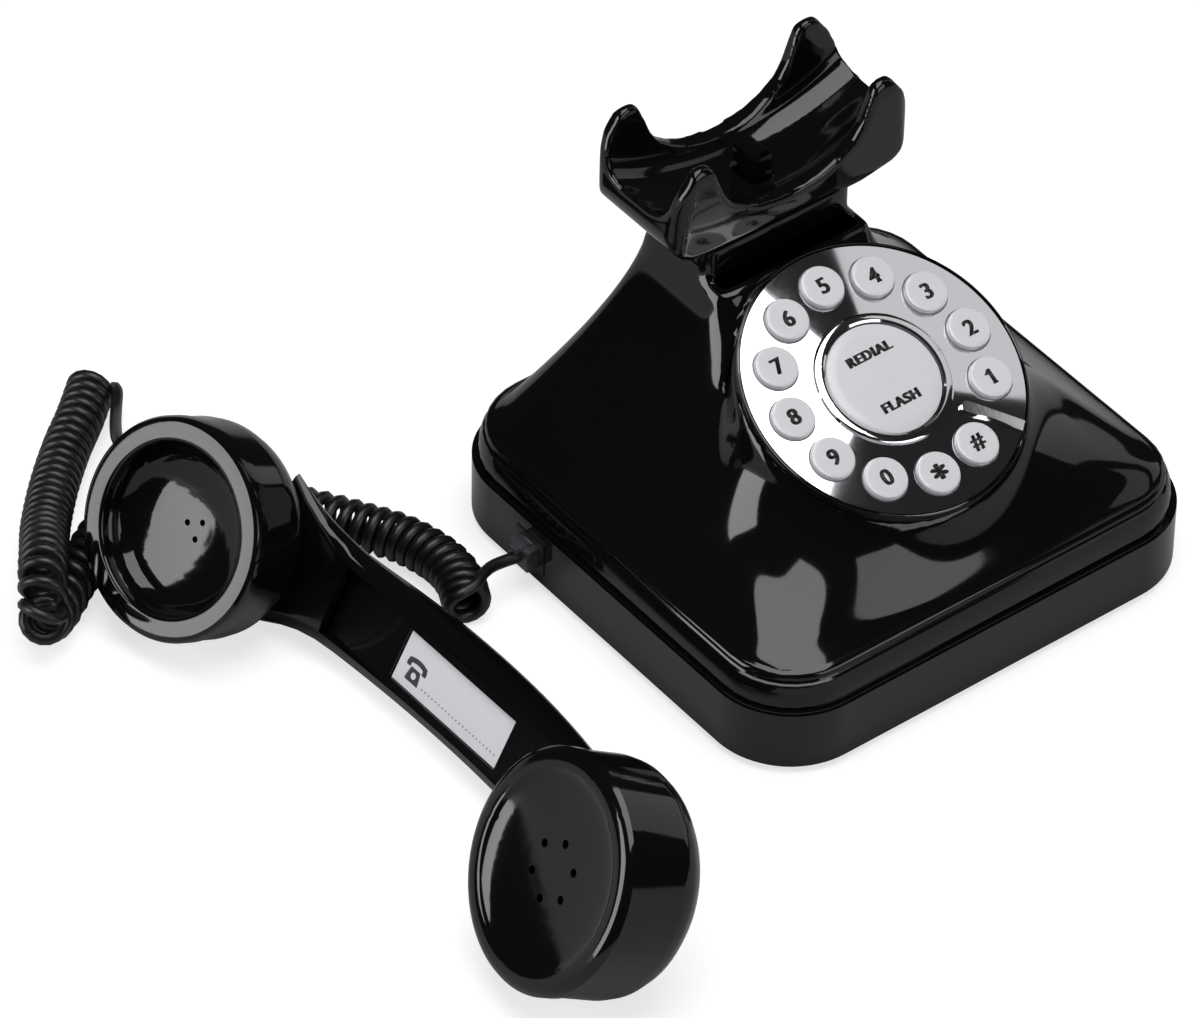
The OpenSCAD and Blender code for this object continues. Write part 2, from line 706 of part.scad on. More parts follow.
button_swing = 3;
button_pivot = -3.4;
button_boss = 0.6;
button_boss_r = 3;

// Rocking centre button: redial at its upper edge, flash at its lower edge
module centre_button() {
    color(white) set_frame() dial_frame() {
        lathe([[0, -1.4], [button_r, -1.4], [button_r, 0.3], [button_r - 0.5, 0.7], [button_r - 3, 1], [0, 1.2]]);
        translate([0, 0, button_pivot - button_boss]) cylinder(button_boss - button_pivot - 1.2, r = button_boss_r);
    }
}

dome_top = -key_travel - 3.4;
mat_top = -6.3;
mat_low = board_face + 0.1;
stem_r = 2.7;
stem_low = dome_top - 0.1;

module key_cap() {
    h = key_rise;
    lathe([[0, -3], [flange_r, -3], [flange_r, -plate_t - seat_gap], [key_r, -plate_t - seat_gap], [key_r, h - 0.7],
        [key_r - 0.25, h - 0.2], [key_r - 0.8, h], [0, h]], 48);
    translate([0, 0, stem_low]) cylinder(-3 - stem_low + 0.1, r = stem_r, $fn = 32);
}

module key_at(k) {
    color(white) set_frame() dial_frame() rotate(key_angle(k)) translate([key_ring_r, 0, 0]) key_cap();
}

module key_mat() {
    color("#b9b6ae") set_frame() dial_frame() difference() {
        union() {
            translate([0, 0, mat_low]) cylinder(mat_top - mat_low, r = 36.6);
            for (k = [0 : 11]) rotate(key_angle(k)) translate([key_ring_r, 0, mat_top - 0.1])
                cylinder(dome_top - mat_top + 0.1, r = stem_r + run_gap + 1.5, $fn = 32);
            translate([0, 0, mat_top - 0.1]) cylinder(button_pivot - button_boss - 0.25 - mat_top + 0.1, r = button_boss_r);
        }
        for (k = [0 : 11]) rotate(key_angle(k)) translate([key_ring_r, 0, mat_top - 0.6])
            cylinder(9, r = stem_r + run_gap, $fn = 32);
        for (a = lug_angles) rotate(a) translate([lug_place, 0, -9]) cylinder(9, r = lug_r + 0.5);
    }
}

module key_board() {
    color(green) set_frame() dial_frame() difference() {
        translate([0, 0, board_face - board_t]) cylinder(board_t, r = bezel_body_r - bezel_wall - 0.4);
        for (a = lug_angles) rotate(a) translate([lug_place, 0, -12]) cylinder(9, r = 1.2, $fn = 24);
    }
}

module dial_screws() {
    color(steel) set_frame() dial_frame() for (a = lug_angles) rotate(a)
        translate([lug_place, 0, board_face - board_t]) screw_up(3.4, 0.75, 2, 1.2, $fn = 24);
}

// ---- handset -------------------------------------------------------------

hs_x = -163.7;
hs_y = -7.7;
hs_roll = -59.3;
hs_drop = -1.107;

// Handset frame: +X from ear to mouth, +Z the way that the cups face
module handset_frame() {
    translate([hs_x, hs_y, hs_z]) rotate([hs_drop, 0, 0]) rotate([0, 0, 90]) rotate([hs_roll, 0, 0]) children();
}
module ear_frame() {
    handset_frame() translate([-cup_span / 2, 0, 0]) rotate([0, cup_lean, 0]) children();
}
module mouth_frame() {
    handset_frame() translate([cup_span / 2, 0, 0]) rotate([0, -cup_lean, 0]) children();
}

seam = 0.3;
cup_steps = 8;

// Profile of a cup: straight side and elliptical back, wall taken off by w
function cup_profile(r, side, back, w) = concat(
    [[0, -cap_edge - seam + (w > 0 ? 1 : 0)], [r - w, -cap_edge - seam + (w > 0 ? 1 : 0)]],
    [for (k = [0 : cup_steps]) let (a = 90 * k / cup_steps) [(r - w) * cos(a), -side - (back - w) * sin(a)]]);

grip_steps = 24;
grip_points = 20;
grip_end = 76;
waist_x = 46;
arch = 13;
inner_arch = 4.6;

// Grip section at x, wall taken off by w
function grip_ring(x, w) = let (
    u = abs(x) / 60,
    z_out = -grip_outer + arch * u * u + w,
    z_in = -grip_inner + inner_arch * u * u - w,
    spread = pow(max(0, abs(x) - waist_x) / (grip_end - waist_x), 2),
    hw = grip_half_w + 9 * spread - w,
    zc = (z_in + z_out) / 2,
    h = (z_in - z_out) / 2
) [for (k = [0 : grip_points - 1]) let (a = 360 * k / grip_points, c = cos(a), s = sin(a))
    [x, hw * sign(c) * pow(abs(c), s > 0 ? 0.5 : 0.75) * (1 - 0.06 * max(0, s)),
        zc + h * sign(s) * pow(abs(s), s > 0 ? 0.5 : 0.7)]];

module grip(w) {
    // the hollow ends inside the cups, so that its ends don't meet the shell's
    e = w > 0 ? grip_end - 6 : grip_end;
    loft([for (k = [0 : grip_steps]) let (x = -e + 2 * e * k / grip_steps) grip_ring(x, w)]);
}

module ear_body(w) {
    translate([-cup_span / 2, 0, 0]) rotate([0, cup_lean, 0]) lathe(cup_profile(ear_r - 0.4, ear_side, ear_back, w), 72);
}
module mouth_body(w) {
    translate([cup_span / 2, 0, 0]) rotate([0, -cup_lean, 0]) lathe(cup_profile(mouth_r - 0.4, mouth_side, mouth_back, w), 72);
}

panel_x0 = -50;
panel_x1 = 49;
panel_half_w = 10;
panel_t = 1.6;
panel_top = -grip_inner - 0.5;
window_t = 0.7;
card_t = 0.25;
hs_screw_x = [-14, 14];
end_jack_z = -18;
end_jack_x = cup_span / 2 + mouth_r - 8.5;

module handset_shell() {
    color(black) set_frame() handset_frame() difference() {
        union() {
            ear_body(0);
            mouth_body(0);
            grip(0);
        }
        ear_body(hs_wall);
        mouth_body(hs_wall);
        grip(hs_wall);
        // pocket for the inner panel
        block([panel_x0 - fit_gap, -panel_half_w - fit_gap, panel_top - panel_t],
            [panel_x1 + fit_gap, panel_half_w + fit_gap, panel_top + 30]);
        // blind holes for the two screws of the weight
        for (x = hs_screw_x) translate([x, 0, weight_low - 1.9]) cylinder(4, r = screw_r, $fn = 32);
        // opening for the cord's jack at the mouth end
        block([end_jack_x - 3, -jack_w / 2 - fit_gap, end_jack_z - jack_h / 2 - fit_gap],
            [end_jack_x + 20, jack_w / 2 + fit_gap, end_jack_z + jack_h / 2 + fit_gap]);
    }
}

module handset_panel() {
    color("#1b1b1e") set_frame() handset_frame() difference() {
        block([panel_x0, -panel_half_w, panel_top - panel_t], [panel_x1, panel_half_w, panel_top]);
        block([-label_l / 2 - 0.4, -label_w / 2 - 0.2, panel_top - window_t - card_t],
            [label_l / 2 + 0.4, label_w / 2 + 0.2, panel_top + 1]);
    }
}

module label_card() {
    z = panel_top - window_t - card_t;
    color("#f3f3f0") set_frame() handset_frame()
        block([-label_l / 2, -label_w / 2, z], [label_l / 2, label_w / 2, z + card_t]);
}

module label_window() {
    z = panel_top - window_t;
    color(clear) set_frame() handset_frame()
        block([-label_l / 2 - 0.2, -label_w / 2, z], [label_l / 2 + 0.2, label_w / 2, z + window_t]);
}

// Steel weight inside the grip, on the wall of its back
weight_half_l = 20;
weight_half_w = 5;
weight_t = 5;
weight_low = -grip_outer + hs_wall + arch * pow(weight_half_l / 60, 2) + 0.25;

module handset_weight() {
    color(steel) set_frame() handset_frame() difference() {
        block([-weight_half_l, -weight_half_w, weight_low], [weight_half_l, weight_half_w, weight_low + weight_t]);
        for (x = hs_screw_x) translate([x, 0, weight_low - 1]) cylinder(weight_t + 2, r = screw_r + 0.2, $fn = 32);
    }
}

module handset_screws() {
    color(steel) set_frame() handset_frame() for (x = hs_screw_x)
        translate([x, 0, weight_low + weight_t]) rotate([180, 0, 0]) screw_up(weight_t + 1.7, screw_r - 0.1, head_r - 0.4, 1.4, $fn = 24);
}

ear_dish_r = 26;
ear_dish = 2.6;
ear_hole_ring = 8.2;

module ear_cap() {
    r = ear_r;
    rs = ear_r - 0.4 - hs_wall - fit_gap;
    color(black) set_frame() ear_frame() difference() {
        lathe(concat([[rs - 1.8, -cap_edge - 4], [rs, -cap_edge - 4], [rs, -cap_edge], [r, -cap_edge], [r, -2],
            [r - 0.7, -0.9], [r - 2, -0.2], [r - 3.4, 0], [ear_dish_r + 0.8, 0]],
            [for (k = [0 : 8]) let (a = 90 * k / 8) [ear_dish_r * cos(a), -0.4 - (ear_dish - 0.4) * sin(a)]],
            [[0, -ear_dish - 2], [ear_dish_r - 6, -ear_dish - 1.8], [rs - 1.8, -cap_edge]]));
        for (a = [30 : 60 : 330]) rotate(a) translate([ear_hole_ring, 0, -12]) cylinder(13, r = 1.2, $fn = 24);
    }
}

mouth_lip_r = 23.2;
mouth_step_r = 21;
mouth_bowl = 11;

module mouth_cap() {
    r = mouth_r;
    rs = mouth_r - 0.4 - hs_wall - fit_gap;
    color(black) set_frame() mouth_frame() difference() {
        lathe(concat([[rs - 1.8, -cap_edge - 4], [rs, -cap_edge - 4], [rs, -cap_edge], [r, -cap_edge], [r, -1.6],
            [r - 0.5, -0.5], [r - 1.6, 0], [mouth_lip_r + 0.4, -2.4], [mouth_lip_r, -2.9], [mouth_step_r + 0.6, -6.2],
            [mouth_step_r, -6.6]],
            [for (k = [1 : 8]) let (a = 90 * k / 8) [mouth_step_r * cos(a), -6.6 - (mouth_bowl - 6.6) * sin(a)]],
            [for (k = [8 : -1 : 1]) let (a = 90 * k / 8)
                [(mouth_step_r + 1.8) * cos(a), -7 - (mouth_bowl - 5.2) * sin(a)]],
            [[rs - 1.8, -cap_edge - 1.2]]));
        for (a = [0 : 120 : 240]) rotate(a) translate([3, 0, -20]) cylinder(19, r = 0.9, $fn = 24);
    }
}

module receiver() {
    rs = ear_r - 0.4 - hs_wall - 1.2;
    color(grey) set_frame() ear_frame() translate([0, 0, -cap_edge - 4.1]) {
        translate([0, 0, -3]) cylinder(3, r = rs);
        translate([0, 0, -9]) cylinder(6.1, r = 20);
        translate([0, 0, -14]) cylinder(5.1, r = 10);
    }
}

module microphone() {
    color(grey) set_frame() mouth_frame() translate([0, 0, -mouth_bowl - 1.9 - 6]) difference() {
        cylinder(6, r = 8);
        translate([0, 0, 4]) cylinder(3, r = 5.5);
    }
}

// Square jack set in the mouth end of the handset
module handset_end_jack() {
    x1 = cup_span / 2 + mouth_r + 0.6;
    color("#26262a") set_frame() handset_frame() difference() {
        block([end_jack_x - 2, -jack_w / 2, end_jack_z - jack_h / 2], [x1, jack_w / 2, end_jack_z + jack_h / 2]);
        block([end_jack_x, -jack_mouth_w / 2, end_jack_z - jack_mouth_h / 2],
            [x1 + 1, jack_mouth_w / 2, end_jack_z + jack_mouth_h / 2]);
    }
}

// ---- cord ----------------------------------------------------------------

cord_d = 3;
coil_d = 14;

// Centre line of the coiled stretch, from its phone end to its handset end
coil_route = [[-100, 27, 7.2], [-95.6, 37, 7.2], [-95, 47, 7.2], [-98, 59, 7.2], [-104, 70, 7.2], [-112, 83, 7.2],
    [-122, 98, 7.2], [-135, 108, 7.2], [-149, 112.4, 7.2], [-161, 109.4, 7.2], [-171.4, 103.2, 7.2], [-179, 99, 7.2],
    [-187, 93.4, 7.4], [-193.6, 88.6, 9.6], [-197.4, 85.6, 14], [-196.6, 86.6, 18.6], [-191.8, 93.4, 20.6],
    [-185, 103, 17.6], [-175, 117, 12], [-162.4, 131.4, 8.4], [-150, 143.4, 7.2], [-139.4, 151.8, 7.2], [-129, 161, 7.2]];
tail_base_route = [[-79.8, 31.6, 10.9], [-84, 32.5, 10.9], [-88.6, 34, 10.4], [-92, 36.2, 9.6]];
tail_handset_route = [[-148.2, 109.4, 25.5], [-148.2, 115, 25.3], [-146, 123.6, 22.4], [-140, 133.6, 17],
    [-133, 143.6, 12], [-127.4, 151.3, 9.8]];

function sub(p, a) = [p[0] - a[0], p[1] - a[1], p[2] - a[2]];
function unit(v) = v / norm(v);
function tangent(p, k) = unit(sub(p[min(len(p) - 1, k + 1)], p[max(0, k - 1)]));
function tube_ring(c, t, r, n) = let (side = unit(cross([0, 0, 1], t)), up = cross(t, side))
    [for (k = [0 : n - 1]) let (a = 360 * k / n) c + r * cos(a) * side + r * sin(a) * up];

module tube(path, d, n) {
    loft([for (k = [0 : len(path) - 1]) tube_ring(path[k], tangent(path, k), d / 2, n)]);
}

module cord_coil() {
    color("#202024") set_frame() tube(coil_route, coil_d, 12);
}

module cord_tail_base() {
    color("#202024") set_frame() tube(tail_base_route, cord_d, 8);
}

module cord_tail_handset() {
    color("#202024") set_frame() tube(tail_handset_route, cord_d, 8);
}

plug_w = jack_mouth_w - 2 * fit_gap;
plug_h = jack_mouth_h - 2 * fit_gap;
plug_l = 11;
plug_in = 7;

// Modular plug along +X, its end that goes in first at x = 0, resting on z = 0
module modular_plug() {
    difference() {
        block([0, -plug_w / 2, 0], [plug_l, plug_w / 2, plug_h]);
        block([-1, -plug_w / 2 + 0.8, plug_h - 1], [4, plug_w / 2 - 0.8, plug_h + 1]);
    }
    block([plug_in + 0.4, -1.6, plug_h - 0.5], [13, 1.6, plug_h + 0.6]);
}

module cord_plug_base() {
    color(clear) set_frame() translate([-body_w / 2 - jack_proud + plug_in, hs_jack_y, jack_mouth_z + fit_gap])
        rotate([0, 0, 180]) modular_plug();
}

module cord_plug_handset() {
    x1 = cup_span / 2 + mouth_r + 0.6;
    color(clear) set_frame() handset_frame() translate([x1 - plug_in, 0, end_jack_z - jack_mouth_h / 2 + fit_gap]) modular_plug();
}

// ---- drawing -------------------------------------------------------------

base_tray();
base_feet();
ballast_plate();
main_board();
board_parts();
ringer_capsule();
line_jack();
handset_jack();
ringer_knob();
tone_knob();
upper_housing();
housing_screws();
hook_bracket();
hook_switch();
cradle();
cradle_screws();
hook_plunger();
dial_bezel();
dial_plate();
finger_stop();
dial_collar();
centre_button();
key_mat();
key_board();
dial_screws();
key_at(0);  // key_1
key_at(1);  // key_2
key_at(2);  // key_3
key_at(3);  // key_4
key_at(4);  // key_5
key_at(5);  // key_6
key_at(6);  // key_7
key_at(7);  // key_8
key_at(8);  // key_9
key_at(9);  // key_0
key_at(10);  // key_star
key_at(11);  // key_hash
handset_shell();
ear_cap();
mouth_cap();
receiver();
microphone();
handset_panel();
label_card();
label_window();
handset_weight();
handset_screws();
handset_end_jack();
cord_plug_base();
cord_tail_base();
cord_coil();
cord_tail_handset();
cord_plug_handset();
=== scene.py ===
"""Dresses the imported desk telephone: finishes, rounder mouldings, key legends, label and curly cord."""

import json
import logging
import math
from dataclasses import dataclass, field
from enum import Enum

import bmesh
import bpy
from mathutils import Matrix, Vector


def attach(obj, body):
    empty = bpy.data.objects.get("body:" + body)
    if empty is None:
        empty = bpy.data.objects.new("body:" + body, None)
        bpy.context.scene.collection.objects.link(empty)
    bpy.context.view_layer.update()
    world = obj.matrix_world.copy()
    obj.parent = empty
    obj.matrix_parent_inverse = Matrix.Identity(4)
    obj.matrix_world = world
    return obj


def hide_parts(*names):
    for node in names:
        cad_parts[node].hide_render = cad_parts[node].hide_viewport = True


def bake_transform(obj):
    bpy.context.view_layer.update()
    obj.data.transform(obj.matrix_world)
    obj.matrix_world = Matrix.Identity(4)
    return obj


logging.basicConfig(level=logging.INFO, format="%(message)s")
log = logging.getLogger("telephone")

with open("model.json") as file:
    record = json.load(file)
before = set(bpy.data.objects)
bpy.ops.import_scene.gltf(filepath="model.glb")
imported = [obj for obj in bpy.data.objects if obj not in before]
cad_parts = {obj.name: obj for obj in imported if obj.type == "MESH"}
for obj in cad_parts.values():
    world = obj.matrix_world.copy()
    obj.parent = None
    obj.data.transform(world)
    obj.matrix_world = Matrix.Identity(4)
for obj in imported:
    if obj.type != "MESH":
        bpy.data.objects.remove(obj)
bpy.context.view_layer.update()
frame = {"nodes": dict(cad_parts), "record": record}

MM = 0.001
BASE_CENTRE = Vector((51.95, 9.08, 0.0)) * MM
# Corners this close are one corner, in metres
MERGE = 2e-6
# Corners this close to a cut lie on it, in metres
CUT_NEAR = 1e-7
# Edges that turn by more than this stay sharp, in radians
CREASE = math.radians(32)


def mm(x: float, y: float, z: float) -> Vector:
    """Point in metres in the set's frame, from millimetres about the base's centre."""
    return BASE_CENTRE + Vector((x, y, z)) * MM


def turned(degrees: float, axis: str) -> Matrix:
    """A rotation of so many degrees about X, Y or Z."""
    return Matrix.Rotation(math.radians(degrees), 4, axis)


DIAL_CENTRE = mm(0, -23, 71)
DIAL_FRAME = Matrix.Translation(DIAL_CENTRE) @ turned(25.6, "X")
HANDSET_FRAME = (Matrix.Translation(mm(-163.7, -7.7, 36.99)) @ turned(-1.107, "X")
                 @ turned(90, "Z") @ turned(-59.3, "X"))
MOUTH_FRAME = HANDSET_FRAME @ Matrix.Translation(Vector((82.3, 0, 0)) * MM) @ turned(-7.5, "Y")


class Part(Enum):
    """The record's material slots that new pieces take their finish from."""

    SHELL = "black_gloss"
    CORD = "cord_black"
    LABEL = "label_paper"
    KEYS = "white_plastic"


# ---- shared shader groups --------------------------------------------------

SMEAR_DETAIL = 4.0
SMEAR_DISTORTION = 0.6
SPECK_SCALE = 420.0
SPECK_RIM = 0.1
SPECK_CORE = 0.04
WAVE_SCALE = 900.0
WAVE_DETAIL = 2.0
WAVE_HEIGHT = 0.2 * MM
CLOUD_DETAIL = 6.0


def new_group(name: str, inputs: dict[str, float], outputs: dict[str, str]) -> bpy.types.ShaderNodeTree:
    """Makes an empty shader node group with float inputs.

    Args:
        name: the group's name.
        inputs: the name and default value of each float input.
        outputs: the name and socket type of each output.

    Returns:
        The group, with its input and output nodes placed.
    """
    group = bpy.data.node_groups.new(name, "ShaderNodeTree")
    for label, default in inputs.items():
        socket = group.interface.new_socket(label, in_out="INPUT", socket_type="NodeSocketFloat")
        socket.default_value = default
    for label, kind in outputs.items():
        group.interface.new_socket(label, in_out="OUTPUT", socket_type=kind)
    group.nodes.new("NodeGroupInput").location = (-900, 0)
    group.nodes.new("NodeGroupOutput").location = (500, 0)
    return group


def make_handling_group() -> bpy.types.ShaderNodeTree:
    """Handling marks: smears and fine dust in the roughness, and a very shallow moulding waviness.

    Returns:
        A group with the inputs Roughness, Spread, Scale, Dust and Depth, and the outputs Roughness
        and Normal.
    """
    group = new_group(
        "handling_marks",
        {"Roughness": 0.1, "Spread": 0.05, "Scale": 60.0, "Dust": 0.0, "Depth": 0.02},
        {"Roughness": "NodeSocketFloat", "Normal": "NodeSocketVector"},
    )
    nodes, links = group.nodes, group.links
    source, sink = nodes["Group Input"], nodes["Group Output"]
    place = nodes.new("ShaderNodeTexCoord")
    smear = nodes.new("ShaderNodeTexNoise")
    smear.inputs["Detail"].default_value = SMEAR_DETAIL
    smear.inputs["Distortion"].default_value = SMEAR_DISTORTION
    links.new(place.outputs["Object"], smear.inputs["Vector"])
    links.new(source.outputs["Scale"], smear.inputs["Scale"])
    shift = nodes.new("ShaderNodeMath")
    shift.operation = "SUBTRACT"
    shift.inputs[1].default_value = 0.5
    links.new(smear.outputs["Fac"], shift.inputs[0])
    spread = nodes.new("ShaderNodeMath")
    spread.operation = "MULTIPLY_ADD"
    links.new(shift.outputs[0], spread.inputs[0])
    links.new(source.outputs["Spread"], spread.inputs[1])
    links.new(source.outputs["Roughness"], spread.inputs[2])
    specks = nodes.new("ShaderNodeTexVoronoi")
    specks.inputs["Scale"].default_value = SPECK_SCALE
    links.new(place.outputs["Object"], specks.inputs["Vector"])
    near = nodes.new("ShaderNodeMapRange")
    near.inputs["From Min"].default_value = SPECK_RIM
    near.inputs["From Max"].default_value = SPECK_CORE
    links.new(specks.outputs["Distance"], near.inputs["Value"])
    dusty = nodes.new("ShaderNodeMath")
    dusty.operation = "MULTIPLY_ADD"
    dusty.use_clamp = True
    links.new(near.outputs["Result"], dusty.inputs[0])
    links.new(source.outputs["Dust"], dusty.inputs[1])
    links.new(spread.outputs[0], dusty.inputs[2])
    links.new(dusty.outputs[0], sink.inputs["Roughness"])
    wave = nodes.new("ShaderNodeTexNoise")
    wave.inputs["Scale"].default_value = WAVE_SCALE
    wave.inputs["Detail"].default_value = WAVE_DETAIL
    links.new(place.outputs["Object"], wave.inputs["Vector"])
    bump = nodes.new("ShaderNodeBump")
    bump.inputs["Distance"].default_value = WAVE_HEIGHT
    links.new(source.outputs["Depth"], bump.inputs["Strength"])
    links.new(wave.outputs["Fac"], bump.inputs["Height"])
    links.new(bump.outputs["Normal"], sink.inputs["Normal"])
    return group


def make_tone_group() -> bpy.types.ShaderNodeTree:
    """Slight unevenness of a moulding's own colour, from slow to fine.

    Returns:
        A group with the inputs Scale and Amount, and the output Tone, which lies about one.
    """
    group = new_group("colour_unevenness", {"Scale": 40.0, "Amount": 0.05}, {"Tone": "NodeSocketFloat"})
    nodes, links = group.nodes, group.links
    source, sink = nodes["Group Input"], nodes["Group Output"]
    place = nodes.new("ShaderNodeTexCoord")
    cloud = nodes.new("ShaderNodeTexNoise")
    cloud.inputs["Detail"].default_value = CLOUD_DETAIL
    links.new(place.outputs["Object"], cloud.inputs["Vector"])
    links.new(source.outputs["Scale"], cloud.inputs["Scale"])
    centred = nodes.new("ShaderNodeMath")
    centred.operation = "SUBTRACT"
    centred.inputs[1].default_value = 0.5
    links.new(cloud.outputs["Fac"], centred.inputs[0])
    tone = nodes.new("ShaderNodeMath")
    tone.operation = "MULTIPLY_ADD"
    tone.inputs[2].default_value = 1.0
    links.new(centred.outputs[0], tone.inputs[0])
    links.new(source.outputs["Amount"], tone.inputs[1])
    links.new(tone.outputs[0], sink.inputs["Tone"])
    return group


@dataclass(frozen=True)
class Finish:
    """One finish, built as a Principled material with handling marks.

    Roughness varies by spread and carries dust, depth is the moulding's waviness, tone is how far
    the colour varies, scale is how fine both patterns are, and dish is a plate's fall to its rim.
    """

    name: str
    colour: tuple[float, float, float]
    roughness: float
    spread: float
    scale: float
    dust: float
    depth: float
    tone: float
    metallic: float = 0.0
    coat: float = 0.0
    alpha: float = 1.0
    transmission: float = 0.0
    dish: float = 0.0
    coat_roughness: float = 0.05

    def build(self, marks: bpy.types.ShaderNodeTree,
              tones: bpy.types.ShaderNodeTree) -> bpy.types.Material:
        """Makes the material.

        Args:
            marks: the shared group of handling marks.
            tones: the shared group of uneven colour.

        Returns:
            The finished material.
        """
        material = bpy.data.materials.new(self.name)
        material.use_nodes = True
        nodes, links = material.node_tree.nodes, material.node_tree.links
        shader = nodes["Principled BSDF"]
        shader.inputs["Metallic"].default_value = self.metallic
        shader.inputs["Coat Weight"].default_value = self.coat
        shader.inputs["Coat Roughness"].default_value = self.coat_roughness
        shader.inputs["Alpha"].default_value = self.alpha
        shader.inputs["Transmission Weight"].default_value = self.transmission
        tone = nodes.new("ShaderNodeGroup")
        tone.node_tree = tones
        tone.inputs["Scale"].default_value = self.scale
        tone.inputs["Amount"].default_value = self.tone
        colour = nodes.new("ShaderNodeVectorMath")
        colour.operation = "SCALE"
        colour.inputs[0].default_value = self.colour
        links.new(tone.outputs["Tone"], colour.inputs["Scale"])
        links.new(colour.outputs["Vector"], shader.inputs["Base Color"])
        group = nodes.new("ShaderNodeGroup")
        group.node_tree = marks
        for label, value in {"Roughness": self.roughness, "Spread": self.spread, "Scale": self.scale,
                             "Dust": self.dust, "Depth": self.depth}.items():
            group.inputs[label].default_value = value
        links.new(group.outputs["Roughness"], shader.inputs["Roughness"])
        if self.dish:
            links.new(self.dished(nodes, links).outputs["Normal"], shader.inputs["Normal"])
        else:
            links.new(group.outputs["Normal"], shader.inputs["Normal"])
        return material

    def dished(self, nodes: bpy.types.Nodes, links: bpy.types.NodeLinks) -> bpy.types.ShaderNode:
        """Makes the bump of a pressed plate that falls off evenly from the dial's axis.

        Args:
            nodes: the material's nodes.
            links: the material's links.

        Returns:
            The Bump node.
        """
        place = nodes.new("ShaderNodeTexCoord")
        centre = nodes.new("ShaderNodeMapping")
        centre.vector_type = "TEXTURE"
        centre.inputs["Location"].default_value = DIAL_FRAME.to_translation()
        centre.inputs["Rotation"].default_value = DIAL_FRAME.to_euler()
        links.new(place.outputs["Object"], centre.inputs["Vector"])
        flat = nodes.new("ShaderNodeVectorMath")
        flat.operation = "MULTIPLY"
        flat.inputs[1].default_value = (1.0, 1.0, 0.0)
        links.new(centre.outputs["Vector"], flat.inputs[0])
        reach = nodes.new("ShaderNodeVectorMath")
        reach.operation = "LENGTH"
        links.new(flat.outputs["Vector"], reach.inputs[0])
        fall = nodes.new("ShaderNodeMath")
        fall.operation = "MULTIPLY"
        fall.inputs[1].default_value = -self.dish
        links.new(reach.outputs["Value"], fall.inputs[0])
        bump = nodes.new("ShaderNodeBump")
        bump.inputs["Strength"].default_value = 1.0
        bump.inputs["Distance"].default_value = 1.0
        links.new(fall.outputs[0], bump.inputs["Height"])
        return bump


# Each finish by slot: name, colour, roughness, spread, scale, dust, depth and tone, then what is special
FINISHES = {
    "black_gloss": Finish("polished_black", (0.0035, 0.0035, 0.004), 0.07, 0.05, 45.0, 0.1, 0.01, 0.2),
    "black_rubber": Finish("black_rubber", (0.02, 0.02, 0.02), 0.75, 0.1, 200.0, 0.1, 0.4, 0.2),
    "chrome": Finish("plated_trim", (0.8, 0.81, 0.83), 0.06, 0.04, 80.0, 0.05, 0.01, 0.03, metallic=1.0),
    "chrome_plate": Finish("plated_dial", (0.84, 0.85, 0.88), 0.05, 0.04, 80.0, 0.05, 0.0, 0.03,
                           metallic=1.0, dish=0.11),
    "white_plastic": Finish("white_moulding", (0.71, 0.705, 0.735), 0.3, 0.08, 120.0, 0.0, 0.05, 0.04,
                            coat=0.3),
    "steel": Finish("plated_steel", (0.55, 0.56, 0.58), 0.3, 0.1, 150.0, 0.1, 0.05, 0.1, metallic=1.0),
    "board_green": Finish("circuit_board", (0.02, 0.13, 0.05), 0.4, 0.1, 150.0, 0.1, 0.1, 0.4),
    "part_grey": Finish("component_grey", (0.18, 0.19, 0.2), 0.5, 0.1, 150.0, 0.1, 0.1, 0.3),
    "dark_plastic": Finish("dark_moulding", (0.015, 0.015, 0.017), 0.35, 0.1, 100.0, 0.1, 0.1, 0.2),
    "silicone": Finish("key_silicone", (0.5, 0.48, 0.44), 0.6, 0.1, 100.0, 0.1, 0.1, 0.1),
    "label_paper": Finish("label_card", (0.93, 0.94, 0.98), 0.6, 0.05, 200.0, 0.0, 0.1, 0.05),
    "clear_plastic": Finish("clear_moulding", (0.42, 0.44, 0.47), 0.08, 0.03, 100.0, 0.05, 0.02, 0.02,
                            transmission=0.9),
    "window_film": Finish("window_film", (0.02, 0.02, 0.022), 0.05, 0.03, 100.0, 0.05, 0.02, 0.02,
                          alpha=0.05),
    "cord_black": Finish("cord_jacket", (0.007, 0.007, 0.008), 0.36, 0.14, 220.0, 0.1, 0.15, 0.3),
    "legend": Finish("black_legend", (0.006, 0.006, 0.007), 0.4, 0.05, 200.0, 0.0, 0.0, 0.1),
    "grey_ink": Finish("grey_ink", (0.16, 0.16, 0.18), 0.6, 0.05, 200.0, 0.0, 0.0, 0.1),
}


